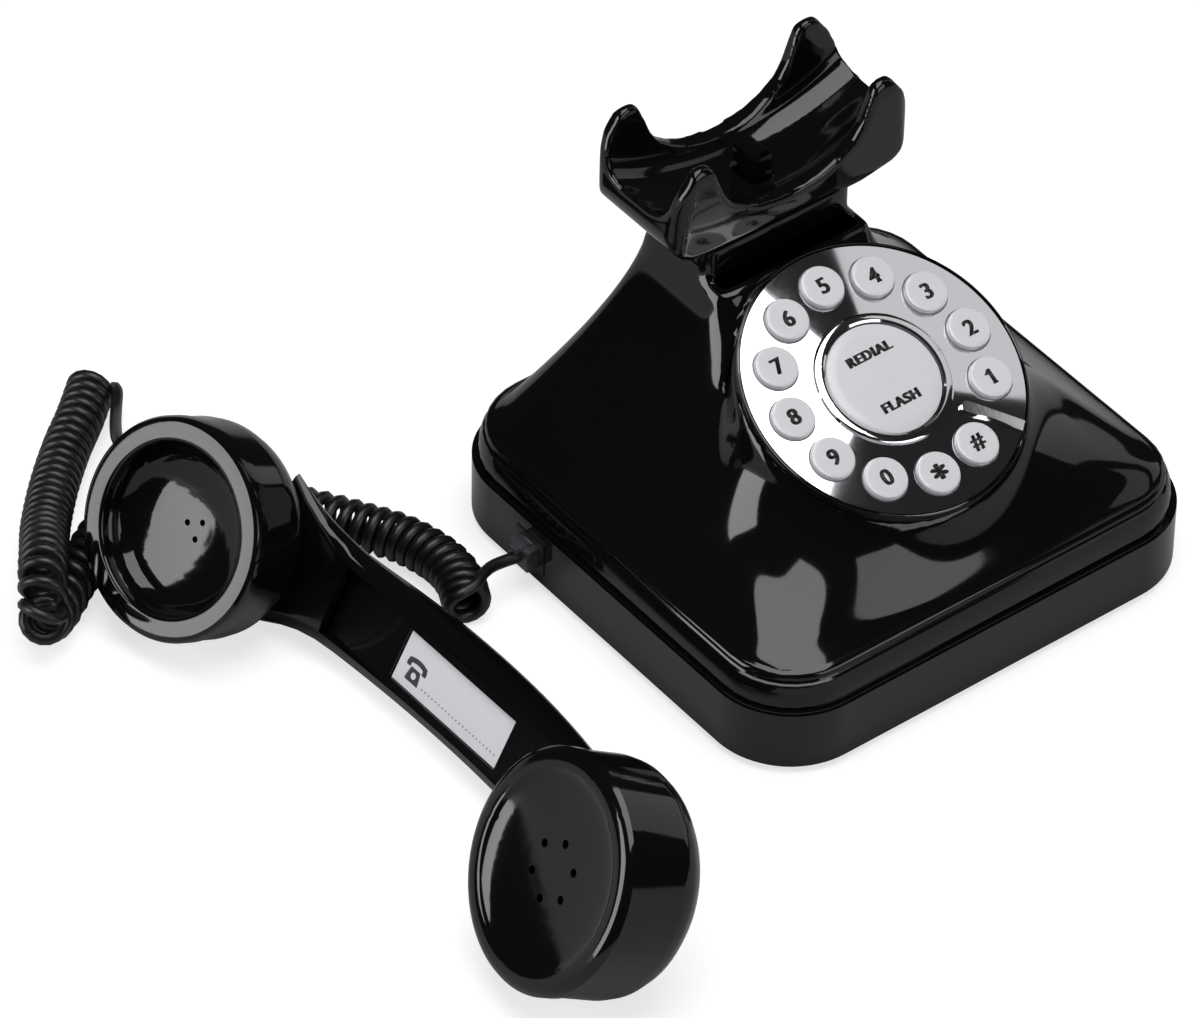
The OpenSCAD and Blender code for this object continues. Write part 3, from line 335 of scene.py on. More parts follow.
class Finishes:
    """All the materials of the telephone, by slot name."""

    def __init__(self) -> None:
        """Builds every material once."""
        marks, tones = make_handling_group(), make_tone_group()
        self.made = {slot: finish.build(marks, tones) for slot, finish in FINISHES.items()}

    def __getitem__(self, slot: str) -> bpy.types.Material:
        """The material of one slot."""
        return self.made[slot]

    def dress_nodes(self) -> None:
        """Puts each CAD node's finish on it, and smooths its shading between sharp edges."""
        slots = {s["node"]: s["material_slot"] for s in frame["record"]["subparts"]}
        slots.update({"dial_plate": "chrome_plate", "label_window": "window_film"})
        for node, piece in frame["nodes"].items():
            put_material(piece, self[slots[node]])
            shade_smooth(piece.data)
            weld = piece.modifiers.new("weld", "WELD")
            weld.merge_threshold = MERGE
            split = piece.modifiers.new("creases", "EDGE_SPLIT")
            split.split_angle = CREASE
            split.use_edge_sharp = False
            weigh = piece.modifiers.new("even_shading", "WEIGHTED_NORMAL")
            weigh.keep_sharp = True


def put_material(piece: bpy.types.Object, material: bpy.types.Material) -> None:
    """Gives a piece one material."""
    piece.data.materials.clear()
    piece.data.materials.append(material)


def shade_smooth(mesh: bpy.types.Mesh) -> None:
    """Shades every face of a mesh smoothly."""
    mesh.polygons.foreach_set("use_smooth", [True] * len(mesh.polygons))


def link(piece: bpy.types.Object) -> bpy.types.Object:
    """Adds a piece to the scene and returns it."""
    bpy.context.scene.collection.objects.link(piece)
    return piece


def fixed(shape: bmesh.types.BMesh, name: str, material: bpy.types.Material, body: str) -> bpy.types.Object:
    """Turns a finished bmesh into a piece at the origin that rides on a body.

    Args:
        shape: the finished shape, in place; it is freed.
        name: the piece's name.
        material: its finish.
        body: the body that it moves with.

    Returns:
        The piece.
    """
    mesh = bpy.data.meshes.new(name)
    bmesh.ops.recalc_face_normals(shape, faces=shape.faces[:])
    shape.to_mesh(mesh)
    shape.free()
    piece = link(bpy.data.objects.new(name, mesh))
    put_material(piece, material)
    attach(piece, body)
    return piece


# ---- camera, floor and lamps -----------------------------------------------


@dataclass(frozen=True)
class Softbox:
    """One rectangular lamp.

    It stands at a point, in metres from the point that it faces. It has a size in metres, a power
    in watts, and a twist about its own line of light, in degrees.
    """

    name: str
    aim: Vector
    place: Vector
    size: tuple[float, float]
    power: float
    twist: float = 0.0

    def build(self) -> None:
        """Hangs the lamp in its place."""
        data = bpy.data.lights.new(self.name, "AREA")
        data.shape = "RECTANGLE"
        data.size, data.size_y = self.size
        data.energy = self.power
        lamp = link(bpy.data.objects.new(self.name, data))
        facing = (-self.place).to_track_quat("-Z", "Y").to_matrix().to_4x4()
        lamp.matrix_world = Matrix.Translation(self.aim + self.place) @ facing @ turned(self.twist, "Z")


MIDDLE = mm(-60, 0, 40)
UNDER_TOP = DIAL_CENTRE + Vector((-0.05, -0.06, 0.5))
SOFTBOXES = [
    Softbox("top_box", UNDER_TOP, Vector((0, 0, 1)), (1.3, 1.3), 19, -16),
    Softbox("window_box", MIDDLE, Vector((-1.357, 0.506, 0.46)), (0.6, 1.0), 9.5),
    Softbox("front_box", MIDDLE, Vector((0.42, -1.42, 0.7)), (0.9, 0.9), 5),
    Softbox("right_box", MIDDLE, Vector((1.6, -0.1, 0.45)), (1.0, 0.8), 1.6),
    Softbox("upper_right_box", DIAL_CENTRE, Vector((1.3, -0.15, 1.4)), (0.6, 0.75), 0.85),
]


@dataclass
class Studio:
    """Camera, pale floor and dim world, and the softboxes."""

    azimuth: float = -38.292
    elevation: float = 42.336
    roll: float = 0.95
    distance: float = 2180.4
    target: tuple[float, float, float] = (-77.295, -0.57, 50.353)
    lens: float = 247.9
    sensor: float = 36.0
    far: float = 20.0
    floor_half: float = 3.0
    floor_drop: float = 0.2 * MM
    floor_colour: tuple[float, float, float, float] = (0.5, 0.5, 0.51, 1)
    floor_roughness: float = 0.9
    floor_glow: float = 0.7
    fill: float = 0.018
    white: tuple[float, float, float, float] = (1, 1, 1, 1)

    def camera(self) -> None:
        """Places the camera and makes it the scene's own."""
        az, el, roll = (math.radians(a) for a in (self.azimuth, self.elevation, self.roll))
        back = Vector((math.sin(az) * math.cos(el), -math.cos(az) * math.cos(el), math.sin(el)))
        right = Vector((0, 0, 1)).cross(back).normalized()
        up = back.cross(right)
        turned_right = right * math.cos(roll) + up * math.sin(roll)
        turned_up = up * math.cos(roll) - right * math.sin(roll)
        place = mm(*self.target) + back * self.distance * MM
        data = bpy.data.cameras.new("camera")
        data.lens = self.lens
        data.sensor_width = self.sensor
        data.sensor_fit = "HORIZONTAL"
        data.clip_end = self.far
        camera = link(bpy.data.objects.new("camera", data))
        turn = Matrix((turned_right, turned_up, back)).transposed()
        camera.matrix_world = Matrix.Translation(place) @ turn.to_4x4()
        bpy.context.scene.camera = camera

    def floor(self) -> None:
        """Lays a large pale floor under the telephone, white to the camera apart from the shadow."""
        mesh = bpy.data.meshes.new("floor")
        shape = bmesh.new()
        bmesh.ops.create_grid(shape, x_segments=1, y_segments=1, size=self.floor_half)
        shape.to_mesh(mesh)
        shape.free()
        floor = link(bpy.data.objects.new("floor", mesh))
        floor.location = (0, 0, -self.floor_drop)
        material = bpy.data.materials.new("pale_floor")
        material.use_nodes = True
        nodes, links = material.node_tree.nodes, material.node_tree.links
        shader = nodes["Principled BSDF"]
        shader.inputs["Base Color"].default_value = self.floor_colour
        shader.inputs["Roughness"].default_value = self.floor_roughness
        shader.inputs["Specular IOR Level"].default_value = 0.0
        path = nodes.new("ShaderNodeLightPath")
        glow = nodes.new("ShaderNodeMath")
        glow.operation = "MULTIPLY"
        glow.inputs[1].default_value = self.floor_glow
        links.new(path.outputs["Is Camera Ray"], glow.inputs[0])
        shader.inputs["Emission Color"].default_value = self.white
        links.new(glow.outputs[0], shader.inputs["Emission Strength"])
        put_material(floor, material)

    def world(self) -> None:
        """Dim even fill, white where the camera sees past the floor."""
        world = bpy.data.worlds.new("studio")
        bpy.context.scene.world = world
        world.use_nodes = True
        nodes, links = world.node_tree.nodes, world.node_tree.links
        shade = nodes["Background"]
        path = nodes.new("ShaderNodeLightPath")
        level = nodes.new("ShaderNodeMapRange")
        level.inputs["To Min"].default_value = self.fill
        level.inputs["To Max"].default_value = 1.0
        links.new(path.outputs["Is Camera Ray"], level.inputs["Value"])
        links.new(level.outputs["Result"], shade.inputs["Strength"])
        shade.inputs["Color"].default_value = self.white

    def build(self) -> None:
        """Builds the floor, the world and the softboxes."""
        self.floor()
        self.world()
        for softbox in SOFTBOXES:
            softbox.build()
        bpy.context.scene.view_settings.view_transform = "Standard"
        log.info("studio: floor, world and %d softboxes", len(SOFTBOXES))


# ---- cord ------------------------------------------------------------------

# Samples between two points of a route, before they are spaced evenly
ROUTE_FINENESS = 40


def smooth_route(points: list[Vector], step: float) -> list[Vector]:
    """Samples a smooth curve through points at an even spacing.

    Args:
        points: the points that the curve passes through.
        step: the spacing of the samples, in metres.

    Returns:
        The samples, the first and last points among them.
    """
    ends = [points[0] * 2 - points[1], *points, points[-1] * 2 - points[-2]]
    fine: list[Vector] = []
    for a, b, c, d in zip(ends, ends[1:], ends[2:], ends[3:]):
        for k in range(ROUTE_FINENESS):
            t = k / ROUTE_FINENESS
            fine.append(0.5 * ((2 * b) + (c - a) * t + (2 * a - 5 * b + 4 * c - d) * t * t
                               + (3 * b - a - 3 * c + d) * t ** 3))
    fine.append(points[-1].copy())
    length = sum((q - p).length for p, q in zip(fine, fine[1:]))
    count = max(2, round(length / step))
    out, walked, want = [fine[0]], 0.0, length / count
    for p, q in zip(fine, fine[1:]):
        gap = (q - p).length
        while walked + gap >= want - 1e-12 and len(out) < count:
            share = (want - walked) / gap if gap else 0.0
            out.append(p.lerp(q, share))
            want += length / count
        walked += gap
    out.append(fine[-1])
    return out


def reach(points: list[Vector]) -> float:
    """The length of a line through points, in metres."""
    return sum((q - p).length for p, q in zip(points, points[1:]))


@dataclass
class HandsetCord:
    """The curly cord from the base's left wall to the mouth end of the handset."""

    wire: float = 3.4
    coil_outer: float = 14.0
    steps_per_turn: int = 16
    wire_facets: int = 2
    route_step: float = 0.1
    tail_step: float = 1.2
    # Where the wire leaves the coil's last turn, in degrees above the desk, seen along the coil
    last_angle: float = -150.0
    # The stretch that is pulled up with the handset
    pull_from: tuple[float, float, float] = (-150, 124, 7)
    pull_to: tuple[float, float, float] = (-150, 154, 7)
    coil_route: list[tuple[float, float, float]] = field(default_factory=lambda: [
        (-100, 27, 7.2), (-95.6, 37, 7.2), (-95, 47, 7.2), (-98, 59, 7.2), (-104, 70, 7.2),
        (-112, 83, 7.2), (-122, 98, 7.2), (-135, 108, 7.2), (-149, 112.4, 7.2), (-161, 109.4, 7.2),
        (-171.4, 103.2, 7.2),
        (-179, 99, 7.2), (-187, 93.4, 7.4), (-193.6, 88.6, 9.6), (-197.4, 85.6, 14), (-196.6, 86.6, 18.6),
        (-191.8, 93.4, 20.6), (-185, 103, 17.6), (-175, 117, 12), (-162.4, 131.4, 8.4), (-150, 143.4, 7.2),
        (-139.4, 151.8, 7.2), (-129, 161, 7.2)])
    pitch_by_share: list[tuple[float, float]] = field(default_factory=lambda: [
        (0.0, 3.6), (0.12, 3.8), (0.24, 4.8), (0.36, 4.6), (0.48, 4.0), (0.54, 5.4), (0.68, 5.0),
        (0.76, 3.7), (1.0, 3.6)])
    tail_base: list[tuple[float, float, float]] = field(default_factory=lambda: [
        (-79.8, 31.6, 10.9), (-84, 32.2, 11.1), (-88.4, 32.0, 11.7), (-92.6, 30.4, 12.3),
        (-96.4, 28.2, 12.5)])
    tail_handset: list[tuple[float, float, float]] = field(default_factory=lambda: [
        (-148.2, 109.4, 25.5), (-148.2, 115, 25.3), (-146, 123.6, 22.4), (-140, 133.6, 17), (-133, 143.6, 12),
        (-127.2, 151.4, 10), (-125.1, 155.9, 7.8)])

    def pitch_at(self, share: float) -> float:
        """The pitch of the coil at one place.

        Args:
            share: the place, as a share of the coil's length.

        Returns:
            The pitch, in metres.
        """
        for (a, low), (b, high) in zip(self.pitch_by_share, self.pitch_by_share[1:]):
            if share <= b:
                return (low + (high - low) * (share - a) / (b - a)) * MM
        return self.pitch_by_share[-1][1] * MM

    def helix(self) -> list[Vector]:
        """The centre line of the wire along the whole coil.

        Returns:
            Points at an even turn of the coil, from the phone's end to the handset's end.
        """
        step = self.route_step * MM
        line = smooth_route([mm(*p) for p in self.coil_route], step)
        radius = (self.coil_outer - self.wire) / 2 * MM
        upright = Vector((0, 0, 1))
        ahead = (line[1] - line[0]).normalized()
        side = upright.cross(ahead).normalized()
        sides, ups, turns = [], [], [0.0]
        for k in range(len(line)):
            ahead = (line[min(k + 1, len(line) - 1)] - line[max(k - 1, 0)]).normalized()
            side = (side - ahead * side.dot(ahead)).normalized()
            sides.append(side)
            ups.append(ahead.cross(side))
            if k:
                turns.append(turns[-1] + step / self.pitch_at(k / (len(line) - 1)))
        flat = upright.cross(ahead).normalized()
        leaving = math.radians(self.last_angle)
        aim = flat * math.cos(leaving) + upright * math.sin(leaving)
        last = math.atan2(aim.dot(ups[-1]), aim.dot(sides[-1])) / (2 * math.pi)
        whole = round(turns[-1]) + (0.25 - last)
        steps = round(whole * self.steps_per_turn)
        out, k = [], 0
        for j in range(steps + 1):
            want = turns[-1] * j / steps
            while k < len(turns) - 2 and turns[k + 1] < want:
                k += 1
            share = min(1.0, max(0.0, (want - turns[k]) / (turns[k + 1] - turns[k])))
            angle = math.pi / 2 - 2 * math.pi * whole * j / steps
            arm = (math.cos(angle) * sides[k].lerp(sides[k + 1], share)
                   + math.sin(angle) * ups[k].lerp(ups[k + 1], share))
            out.append(line[k].lerp(line[k + 1], share) + radius * arm)
        return out

    def wire_curve(self, name: str, points: list[Vector]) -> bpy.types.Object:
        """Makes a round wire along points.

        Args:
            name: the piece's name.
            points: the wire's centre line.

        Returns:
            The curve piece.
        """
        data = bpy.data.curves.new(name, "CURVE")
        data.dimensions = "3D"
        data.bevel_depth = self.wire / 2 * MM
        data.bevel_resolution = self.wire_facets
        data.use_fill_caps = True
        spline = data.splines.new("POLY")
        spline.points.add(len(points) - 1)
        for knot, point in zip(spline.points, points):
            knot.co = (*point, 1.0)
        return link(bpy.data.objects.new(name, data))

    def build(self, finishes: Finishes) -> None:
        """Makes the cord in two pieces: base tail with coil, and the lead to the handset.

        Args:
            finishes: the telephone's finishes.
        """
        helix = self.helix()
        tail = smooth_route([mm(*p) for p in self.tail_base] + [helix[1]], self.tail_step * MM)
        first = tail[:-1] + helix[1:]
        curve = self.wire_curve("cord_line", first)
        curve.data.twist_mode = "MINIMUM"
        mesh = made_mesh(curve, "curly_cord")
        coil = link(bpy.data.objects.new("curly_cord", mesh))
        put_material(coil, finishes["cord_black"])
        shade_smooth(mesh)
        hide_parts("cord_coil", "cord_tail_base")
        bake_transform(coil)
        log.info("curly cord: %.0f mm of wire, %d points", reach(first) / MM, len(first))
        end = smooth_route([mm(*p) for p in self.tail_handset] + [helix[-1]], self.tail_step * MM)
        lead = self.wire_curve("handset_lead", end)
        lead.data.materials.append(finishes["cord_black"])
        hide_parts("cord_tail_handset")
        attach(lead, "handset")
        log.info("handset lead: %.0f mm of wire", reach(end) / MM)


def made_mesh(source: bpy.types.Object, name: str) -> bpy.types.Mesh:
    """Turns a curve or text object into a mesh and removes the object.

    Args:
        source: the curve or text object.
        name: the new mesh's name.

    Returns:
        The mesh, in the object's own coordinates.
    """
    bpy.context.view_layer.update()
    shown = source.evaluated_get(bpy.context.evaluated_depsgraph_get())
    mesh = bpy.data.meshes.new_from_object(shown)
    mesh.name = name
    data = source.data
    bpy.data.objects.remove(source)
    bpy.data.curves.remove(data)
    return mesh


# ---- moulded pieces --------------------------------------------------------


@dataclass
class SoftMouldings:
    """Black mouldings with rounder edges and a more even sheen than the plain solids carry."""

    cradle_voxel: float = 0.6
    cradle_rounds: int = 18
    flare_voxel: float = 0.95
    flare_rounds: int = 9
    flow_rounds: int = 76
    # Cosines of the turns at which the flow has no say and its full say
    edge_dot: float = 0.86
    flow_dot: float = 0.97
    # The crease where the flare begins, and how far each part of the housing goes past it
    flare_from: float = 32.0
    under_crease: float = 2.6
    over_crease: float = 0.35
    # The rim's closed profile: radius about the cup's axis, and height
    rim: list[tuple[float, float]] = field(default_factory=lambda: [
        (28.9, 0.0), (28.3, 0.06), (24.6, 0.06), (24.0, -0.05), (23.6, -0.4), (23.35, -1.2),
        (23.2, -2.8), (23.5, -2.5), (26.0, -1.35)])
    rim_steps: int = 96
    rim_crease: float = 40.0

    def copied(self, node: str, name: str) -> bpy.types.Object:
        """Copies a node's mesh with its doubles merged.

        Args:
            node: the node's name.
            name: the copy's name.

        Returns:
            The copy, at the origin.
        """
        source = frame["nodes"][node]
        shape = bmesh.new()
        shape.from_mesh(source.data)
        bmesh.ops.transform(shape, matrix=source.matrix_world, verts=shape.verts[:])
        bmesh.ops.remove_doubles(shape, verts=shape.verts[:], dist=MERGE)
        mesh = bpy.data.meshes.new(name)
        shape.to_mesh(mesh)
        shape.free()
        return link(bpy.data.objects.new(name, mesh))

    def rounded(self, copy: bpy.types.Object, voxel: float, rounds: int) -> bpy.types.Mesh:
        """Remeshes a copy evenly, smooths it and removes the copy.

        Args:
            copy: the copy to round.
            voxel: the size of the even mesh, in millimetres.
            rounds: how many times it is smoothed.

        Returns:
            The rounded mesh.
        """
        remesh = copy.modifiers.new("even", "REMESH")
        remesh.mode = "VOXEL"
        remesh.voxel_size = voxel * MM
        smooth = copy.modifiers.new("round", "SMOOTH")
        smooth.factor = 0.5
        smooth.iterations = rounds
        bpy.context.view_layer.update()
        shown = copy.evaluated_get(bpy.context.evaluated_depsgraph_get())
        mesh = bpy.data.meshes.new_from_object(shown)
        bpy.data.objects.remove(copy)
        shade_smooth(mesh)
        return mesh

    def replace(self, piece: bpy.types.Object, node: str, finishes: Finishes) -> None:
        """Puts a black moulding in the place of a node of the base.

        Args:
            piece: the finished moulding.
            node: the node that it replaces.
            finishes: the telephone's finishes.
        """
        put_material(piece, finishes["black_gloss"])
        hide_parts(node)
        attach(piece, "base")
        log.info("%s: %d faces", piece.name, len(piece.data.polygons))

    def cradle(self, finishes: Finishes) -> None:
        """Makes the cradle with softly rounded edges.

        Args:
            finishes: the telephone's finishes.
        """
        mesh = self.rounded(self.copied("cradle", "cradle_copy"), self.cradle_voxel, self.cradle_rounds)
        mesh.name = "cradle_moulding"
        self.replace(link(bpy.data.objects.new("cradle_moulding", mesh)), "cradle", finishes)

    def cut(self, piece: bpy.types.Object, height: float, keep_above: bool) -> None:
        """Cuts a copy at a height, and closes the cut where the upper part is kept.

        Args:
            piece: the copy to cut.
            height: where it is cut, in millimetres above the desk.
            keep_above: whether the part above the cut stays.
        """
        shape = bmesh.new()
        shape.from_mesh(piece.data)
        found = bmesh.ops.bisect_plane(
            shape, geom=shape.verts[:] + shape.edges[:] + shape.faces[:], plane_co=(0, 0, height * MM),
            plane_no=(0, 0, 1), dist=CUT_NEAR, clear_inner=keep_above, clear_outer=not keep_above)
        if keep_above:
            rims = [part for part in found["geom_cut"] if isinstance(part, bmesh.types.BMEdge)]
            bmesh.ops.holes_fill(shape, edges=rims)
        shape.to_mesh(piece.data)
        shape.free()

    def sheen(self, own: Vector, flow: Vector) -> Vector:
        """Blends a point's own normal into that of the flowing surface, except near an edge.

        Args:
            own: the point's own normal.
            flow: the normal of the same point on the flowing surface.

        Returns:
            The blended normal.
        """
        share = (own.dot(flow) - self.edge_dot) / (self.flow_dot - self.edge_dot)
        return own.lerp(flow, min(1.0, max(0.0, share))).normalized()

    def housing(self, finishes: Finishes) -> None:
        """Makes the upper housing, with one flowing surface over its flare and its turret.

        Args:
            finishes: the telephone's finishes.
        """
        flare = self.copied("upper_housing", "flare_copy")
        self.cut(flare, self.flare_from - self.under_crease, True)
        guide = flare.copy()
        guide.data = flare.data.copy()
        flow = self.rounded(link(guide), self.flare_voxel, self.flow_rounds)
        upper = self.rounded(flare, self.flare_voxel, self.flare_rounds)
        pairs = zip(upper.vertex_normals, flow.vertex_normals)
        sheen = [self.sheen(own.vector, flowing.vector) for own, flowing in pairs]
        bpy.data.meshes.remove(flow)
        piece = self.copied("upper_housing", "housing_moulding")
        self.cut(piece, self.flare_from + self.over_crease, False)
        lower = piece.data
        shade_smooth(lower)
        shape = bmesh.new()
        shape.from_mesh(lower)
        creases = [edge for edge in shape.edges if edge.is_manifold and edge.calc_face_angle() > CREASE]
        bmesh.ops.split_edges(shape, edges=creases)
        first = len(shape.verts)
        shape.from_mesh(upper)
        shape.to_mesh(lower)
        shape.free()
        bpy.data.meshes.remove(upper)
        normals = [Vector(corner.vector) for corner in lower.corner_normals]
        for loop in lower.loops:
            if loop.vertex_index >= first:
                normals[loop.index] = sheen[loop.vertex_index - first]
        lower.normals_split_custom_set(normals)
        self.replace(piece, "upper_housing", finishes)

    def mouth_rim(self, finishes: Finishes) -> None:
        """Makes the flat bright rim that lies round the mouth cup.

        Args:
            finishes: the telephone's finishes.
        """
        shape = bmesh.new()
        corners = [shape.verts.new(Vector((r, 0, z)) * MM) for r, z in self.rim]
        edges = [shape.edges.new((a, b)) for a, b in zip(corners, corners[1:] + corners[:1])]
        bmesh.ops.spin(shape, geom=corners + edges, cent=(0, 0, 0), axis=(0, 0, 1), angle=2 * math.pi,
                       steps=self.rim_steps, use_merge=True)
        bmesh.ops.remove_doubles(shape, verts=shape.verts[:], dist=CUT_NEAR)
        bmesh.ops.transform(shape, matrix=MOUTH_FRAME, verts=shape.verts[:])
        piece = fixed(shape, "mouth_rim", finishes["black_gloss"], "handset")
        shade_smooth(piece.data)
        split = piece.modifiers.new("creases", "EDGE_SPLIT")
        split.split_angle = math.radians(self.rim_crease)
        log.info("mouth_rim: %d faces", len(piece.data.polygons))

    def build(self, finishes: Finishes) -> None:
        """Makes them all.

        Args:
            finishes: the telephone's finishes.
        """
        self.housing(finishes)
        self.cradle(finishes)
        self.mouth_rim(finishes)


# ---- printed legends -------------------------------------------------------


def raise_print(shape: bmesh.types.BMesh, thick: float) -> None:
    """Gives all the flat faces of a print its thickness.

    Args:
        shape: the flat print.
        thick: its thickness, in the shape's own units.
    """
    raised = bmesh.ops.extrude_face_region(shape, geom=shape.faces[:])["geom"]
    corners = [part for part in raised if isinstance(part, bmesh.types.BMVert)]
    bmesh.ops.translate(shape, verts=corners, vec=(0, 0, thick))


@dataclass
class Lettering:
    """Bold printed characters with slab serifs, a hair proud of the face that they are printed on."""

    # Thickness of the print, and how far its thickened copies lie above and below it, in millimetres
    thick: float = 0.06
    copy_lift: float = 0.004
    # Height of a capital, added weight, and sizes of serifs and of a one's flag, by the letter size
    capital: float = 0.73
    weight: float = 0.014
    stem: float = 0.036
    slab: float = 0.07
    slab_tall: float = 0.07
    flag_long: float = 0.26
    flag_tall: float = 0.085
    flag_drop: float = 0.13
    flag_in: float = 0.04
    flag_zone: float = 0.1
    flag_slant: float = 38.0
    # Share of the print's thickness that a serif has, so that its top never lies in the letter's
    slab_deep: float = 0.9
    # Width of the letters and space between them, by what is usual
    stretch: float = 0.98
    spacing: float = 1.08
    serif_spacing: float = 0.1
    # A stroke's end lies this near a line, and is at least this long, by the height of the letters
    end_near: float = 0.03
    end_long: float = 0.054
    resolution: int = 6
    flat_angle: float = 0.01

    def word(self, text: str, height: float, serifs: bool) -> bmesh.types.BMesh:
        """Makes one centred word lying on the XY plane.

        Args:
            text: the characters.
            height: the height of a capital, in millimetres.
            serifs: whether straight strokes get slab serifs.

        Returns:
            The letters as a bmesh, in metres.
        """
        em = height / self.capital
        data = bpy.data.curves.new("word", "FONT")
        data.body = text
        data.size = em
        data.offset = self.weight * em
        data.space_character = self.spacing + (self.serif_spacing if serifs else 0.0)
        data.resolution_u = self.resolution
        data.align_x = "CENTER"
        mesh = made_mesh(link(bpy.data.objects.new("word", data)), "word")
        shape = bmesh.new()
        shape.from_mesh(mesh)
        bpy.data.meshes.remove(mesh)
        bmesh.ops.dissolve_limit(shape, angle_limit=self.flat_angle, verts=shape.verts[:],
                                 edges=shape.edges[:])
        low = min(v.co.y for v in shape.verts)
        high = max(v.co.y for v in shape.verts)
        feet = self.stroke_ends(shape, low, high) if serifs else []
        if text.isdigit():
            feet = [foot for foot in feet if foot[2] == low]
        if text == "1":
            self.flag(shape, high, em)
        flat = shape.verts[:] + shape.edges[:] + shape.faces[:]
        for side in (-1, 1):
            copied = bmesh.ops.duplicate(shape, geom=flat)["geom"]
            corners = [part for part in copied if isinstance(part, bmesh.types.BMVert)]
            bmesh.ops.translate(shape, verts=corners, vec=(side * self.stem * em, 0, side * self.copy_lift))
        raise_print(shape, self.thick)
        tall = self.slab_tall * em
        deep = self.thick * self.slab_deep
        for x0, x1, y in feet:
            block = bmesh.ops.create_cube(shape, size=1.0)["verts"]
            inward = tall / 2 if y < (low + high) / 2 else -tall / 2
            bmesh.ops.scale(shape, vec=(x1 - x0 + 2 * self.slab * em, tall, deep), verts=block)
            bmesh.ops.translate(shape, vec=((x0 + x1) / 2, y + inward, deep / 2), verts=block)
        bmesh.ops.scale(shape, vec=(self.stretch * MM, MM, MM), verts=shape.verts[:])
        bmesh.ops.translate(shape, vec=(0, -(low + high) / 2 * MM, 0), verts=shape.verts[:])
        return shape

    def flag(self, shape: bmesh.types.BMesh, high: float, em: float) -> None:
        """Adds the slanting flag of a figure one to its flat stem.

        Args:
            shape: the flat figure.
            high: its top line.
            em: the size of the letters.
        """
        left = min(v.co.x for v in shape.verts if v.co.y > high - self.flag_zone * em)
        strip = bmesh.ops.create_grid(shape, x_segments=1, y_segments=1, size=0.5)["verts"]
        bmesh.ops.scale(shape, vec=(self.flag_long * em, self.flag_tall * em, 1), verts=strip)
        slant = turned(self.flag_slant, "Z").to_3x3()
        bmesh.ops.rotate(shape, cent=(0, 0, 0), matrix=slant, verts=strip)
        bmesh.ops.translate(shape, vec=(left - self.flag_in * em, high - self.flag_drop * em, 0), verts=strip)

    def stroke_ends(self, shape: bmesh.types.BMesh, low: float,
                    high: float) -> list[tuple[float, float, float]]:
        """Finds where straight strokes end on the base line or the top line.

        Args:
            shape: the flat letters.
            low: the base line.
            high: the top line.

        Returns:
            The first and last x and the y of each stroke's end.
        """
        near = (high - low) * self.end_near
        shortest = (high - low) * self.end_long
        found = []
        for edge in (edge for edge in shape.edges if edge.is_boundary):
            a, b = (v.co for v in edge.verts)
            for y in (low, high):
                level = abs(a.y - y) < near and abs(b.y - y) < near
                if level and abs(a.x - b.x) > shortest:
                    found.append((min(a.x, b.x), max(a.x, b.x), y))
        return found


@dataclass
class DialLegends:
    """Numbers on the keys, and the two words on the rocking centre button."""

    ring: float = 30.0
    first: float = -26.2
    step: float = 29.04
    key_top: float = 1.7
    button_top: float = 1.2
    button_slope: float = 0.2 / 13.2
    digit: float = 4.7
    star: float = 4.7 * 1.55
    letter: float = 2.9
    word_place: float = 7.7
    word_stem: float = 0.08
    with_serifs: str = "14"
    keys: dict[str, str] = field(default_factory=lambda: {
        **{f"key_{n}": str(n) for n in (1, 2, 3, 4, 5, 6, 7, 8, 9, 0)}, "key_star": "*", "key_hash": "#"})

    def build(self, finishes: Finishes) -> None:
        """Prints every key and the centre button.

        Args:
            finishes: the telephone's finishes.
        """
        lettering = Lettering()
        word_lettering = Lettering(stem=self.word_stem)
        for k, (key, sign) in enumerate(self.keys.items()):
            angle = math.radians(self.first + k * self.step)
            place = Vector((self.ring * math.cos(angle), self.ring * math.sin(angle), self.key_top)) * MM
            size = self.star if sign == "*" else self.digit
            shape = lettering.word(sign, size, sign in self.with_serifs)
            bmesh.ops.transform(shape, matrix=DIAL_FRAME @ Matrix.Translation(place), verts=shape.verts[:])
            fixed(shape, f"{key}_legend", finishes["legend"], key)
        for word, y in (("REDIAL", self.word_place), ("FLASH", -self.word_place)):
            shape = word_lettering.word(word, self.letter, True)
            place = Vector((0, y, 0)) * MM
            for v in shape.verts:
                fall = self.button_slope * Vector((v.co.x, v.co.y + place.y)).length
                v.co.z += self.button_top * MM - fall
            bmesh.ops.transform(shape, matrix=DIAL_FRAME @ Matrix.Translation(place), verts=shape.verts[:])
            fixed(shape, f"{word.lower()}_legend", finishes["legend"], "centre_button")
        log.info("legends: %d keys and two words", len(self.keys))


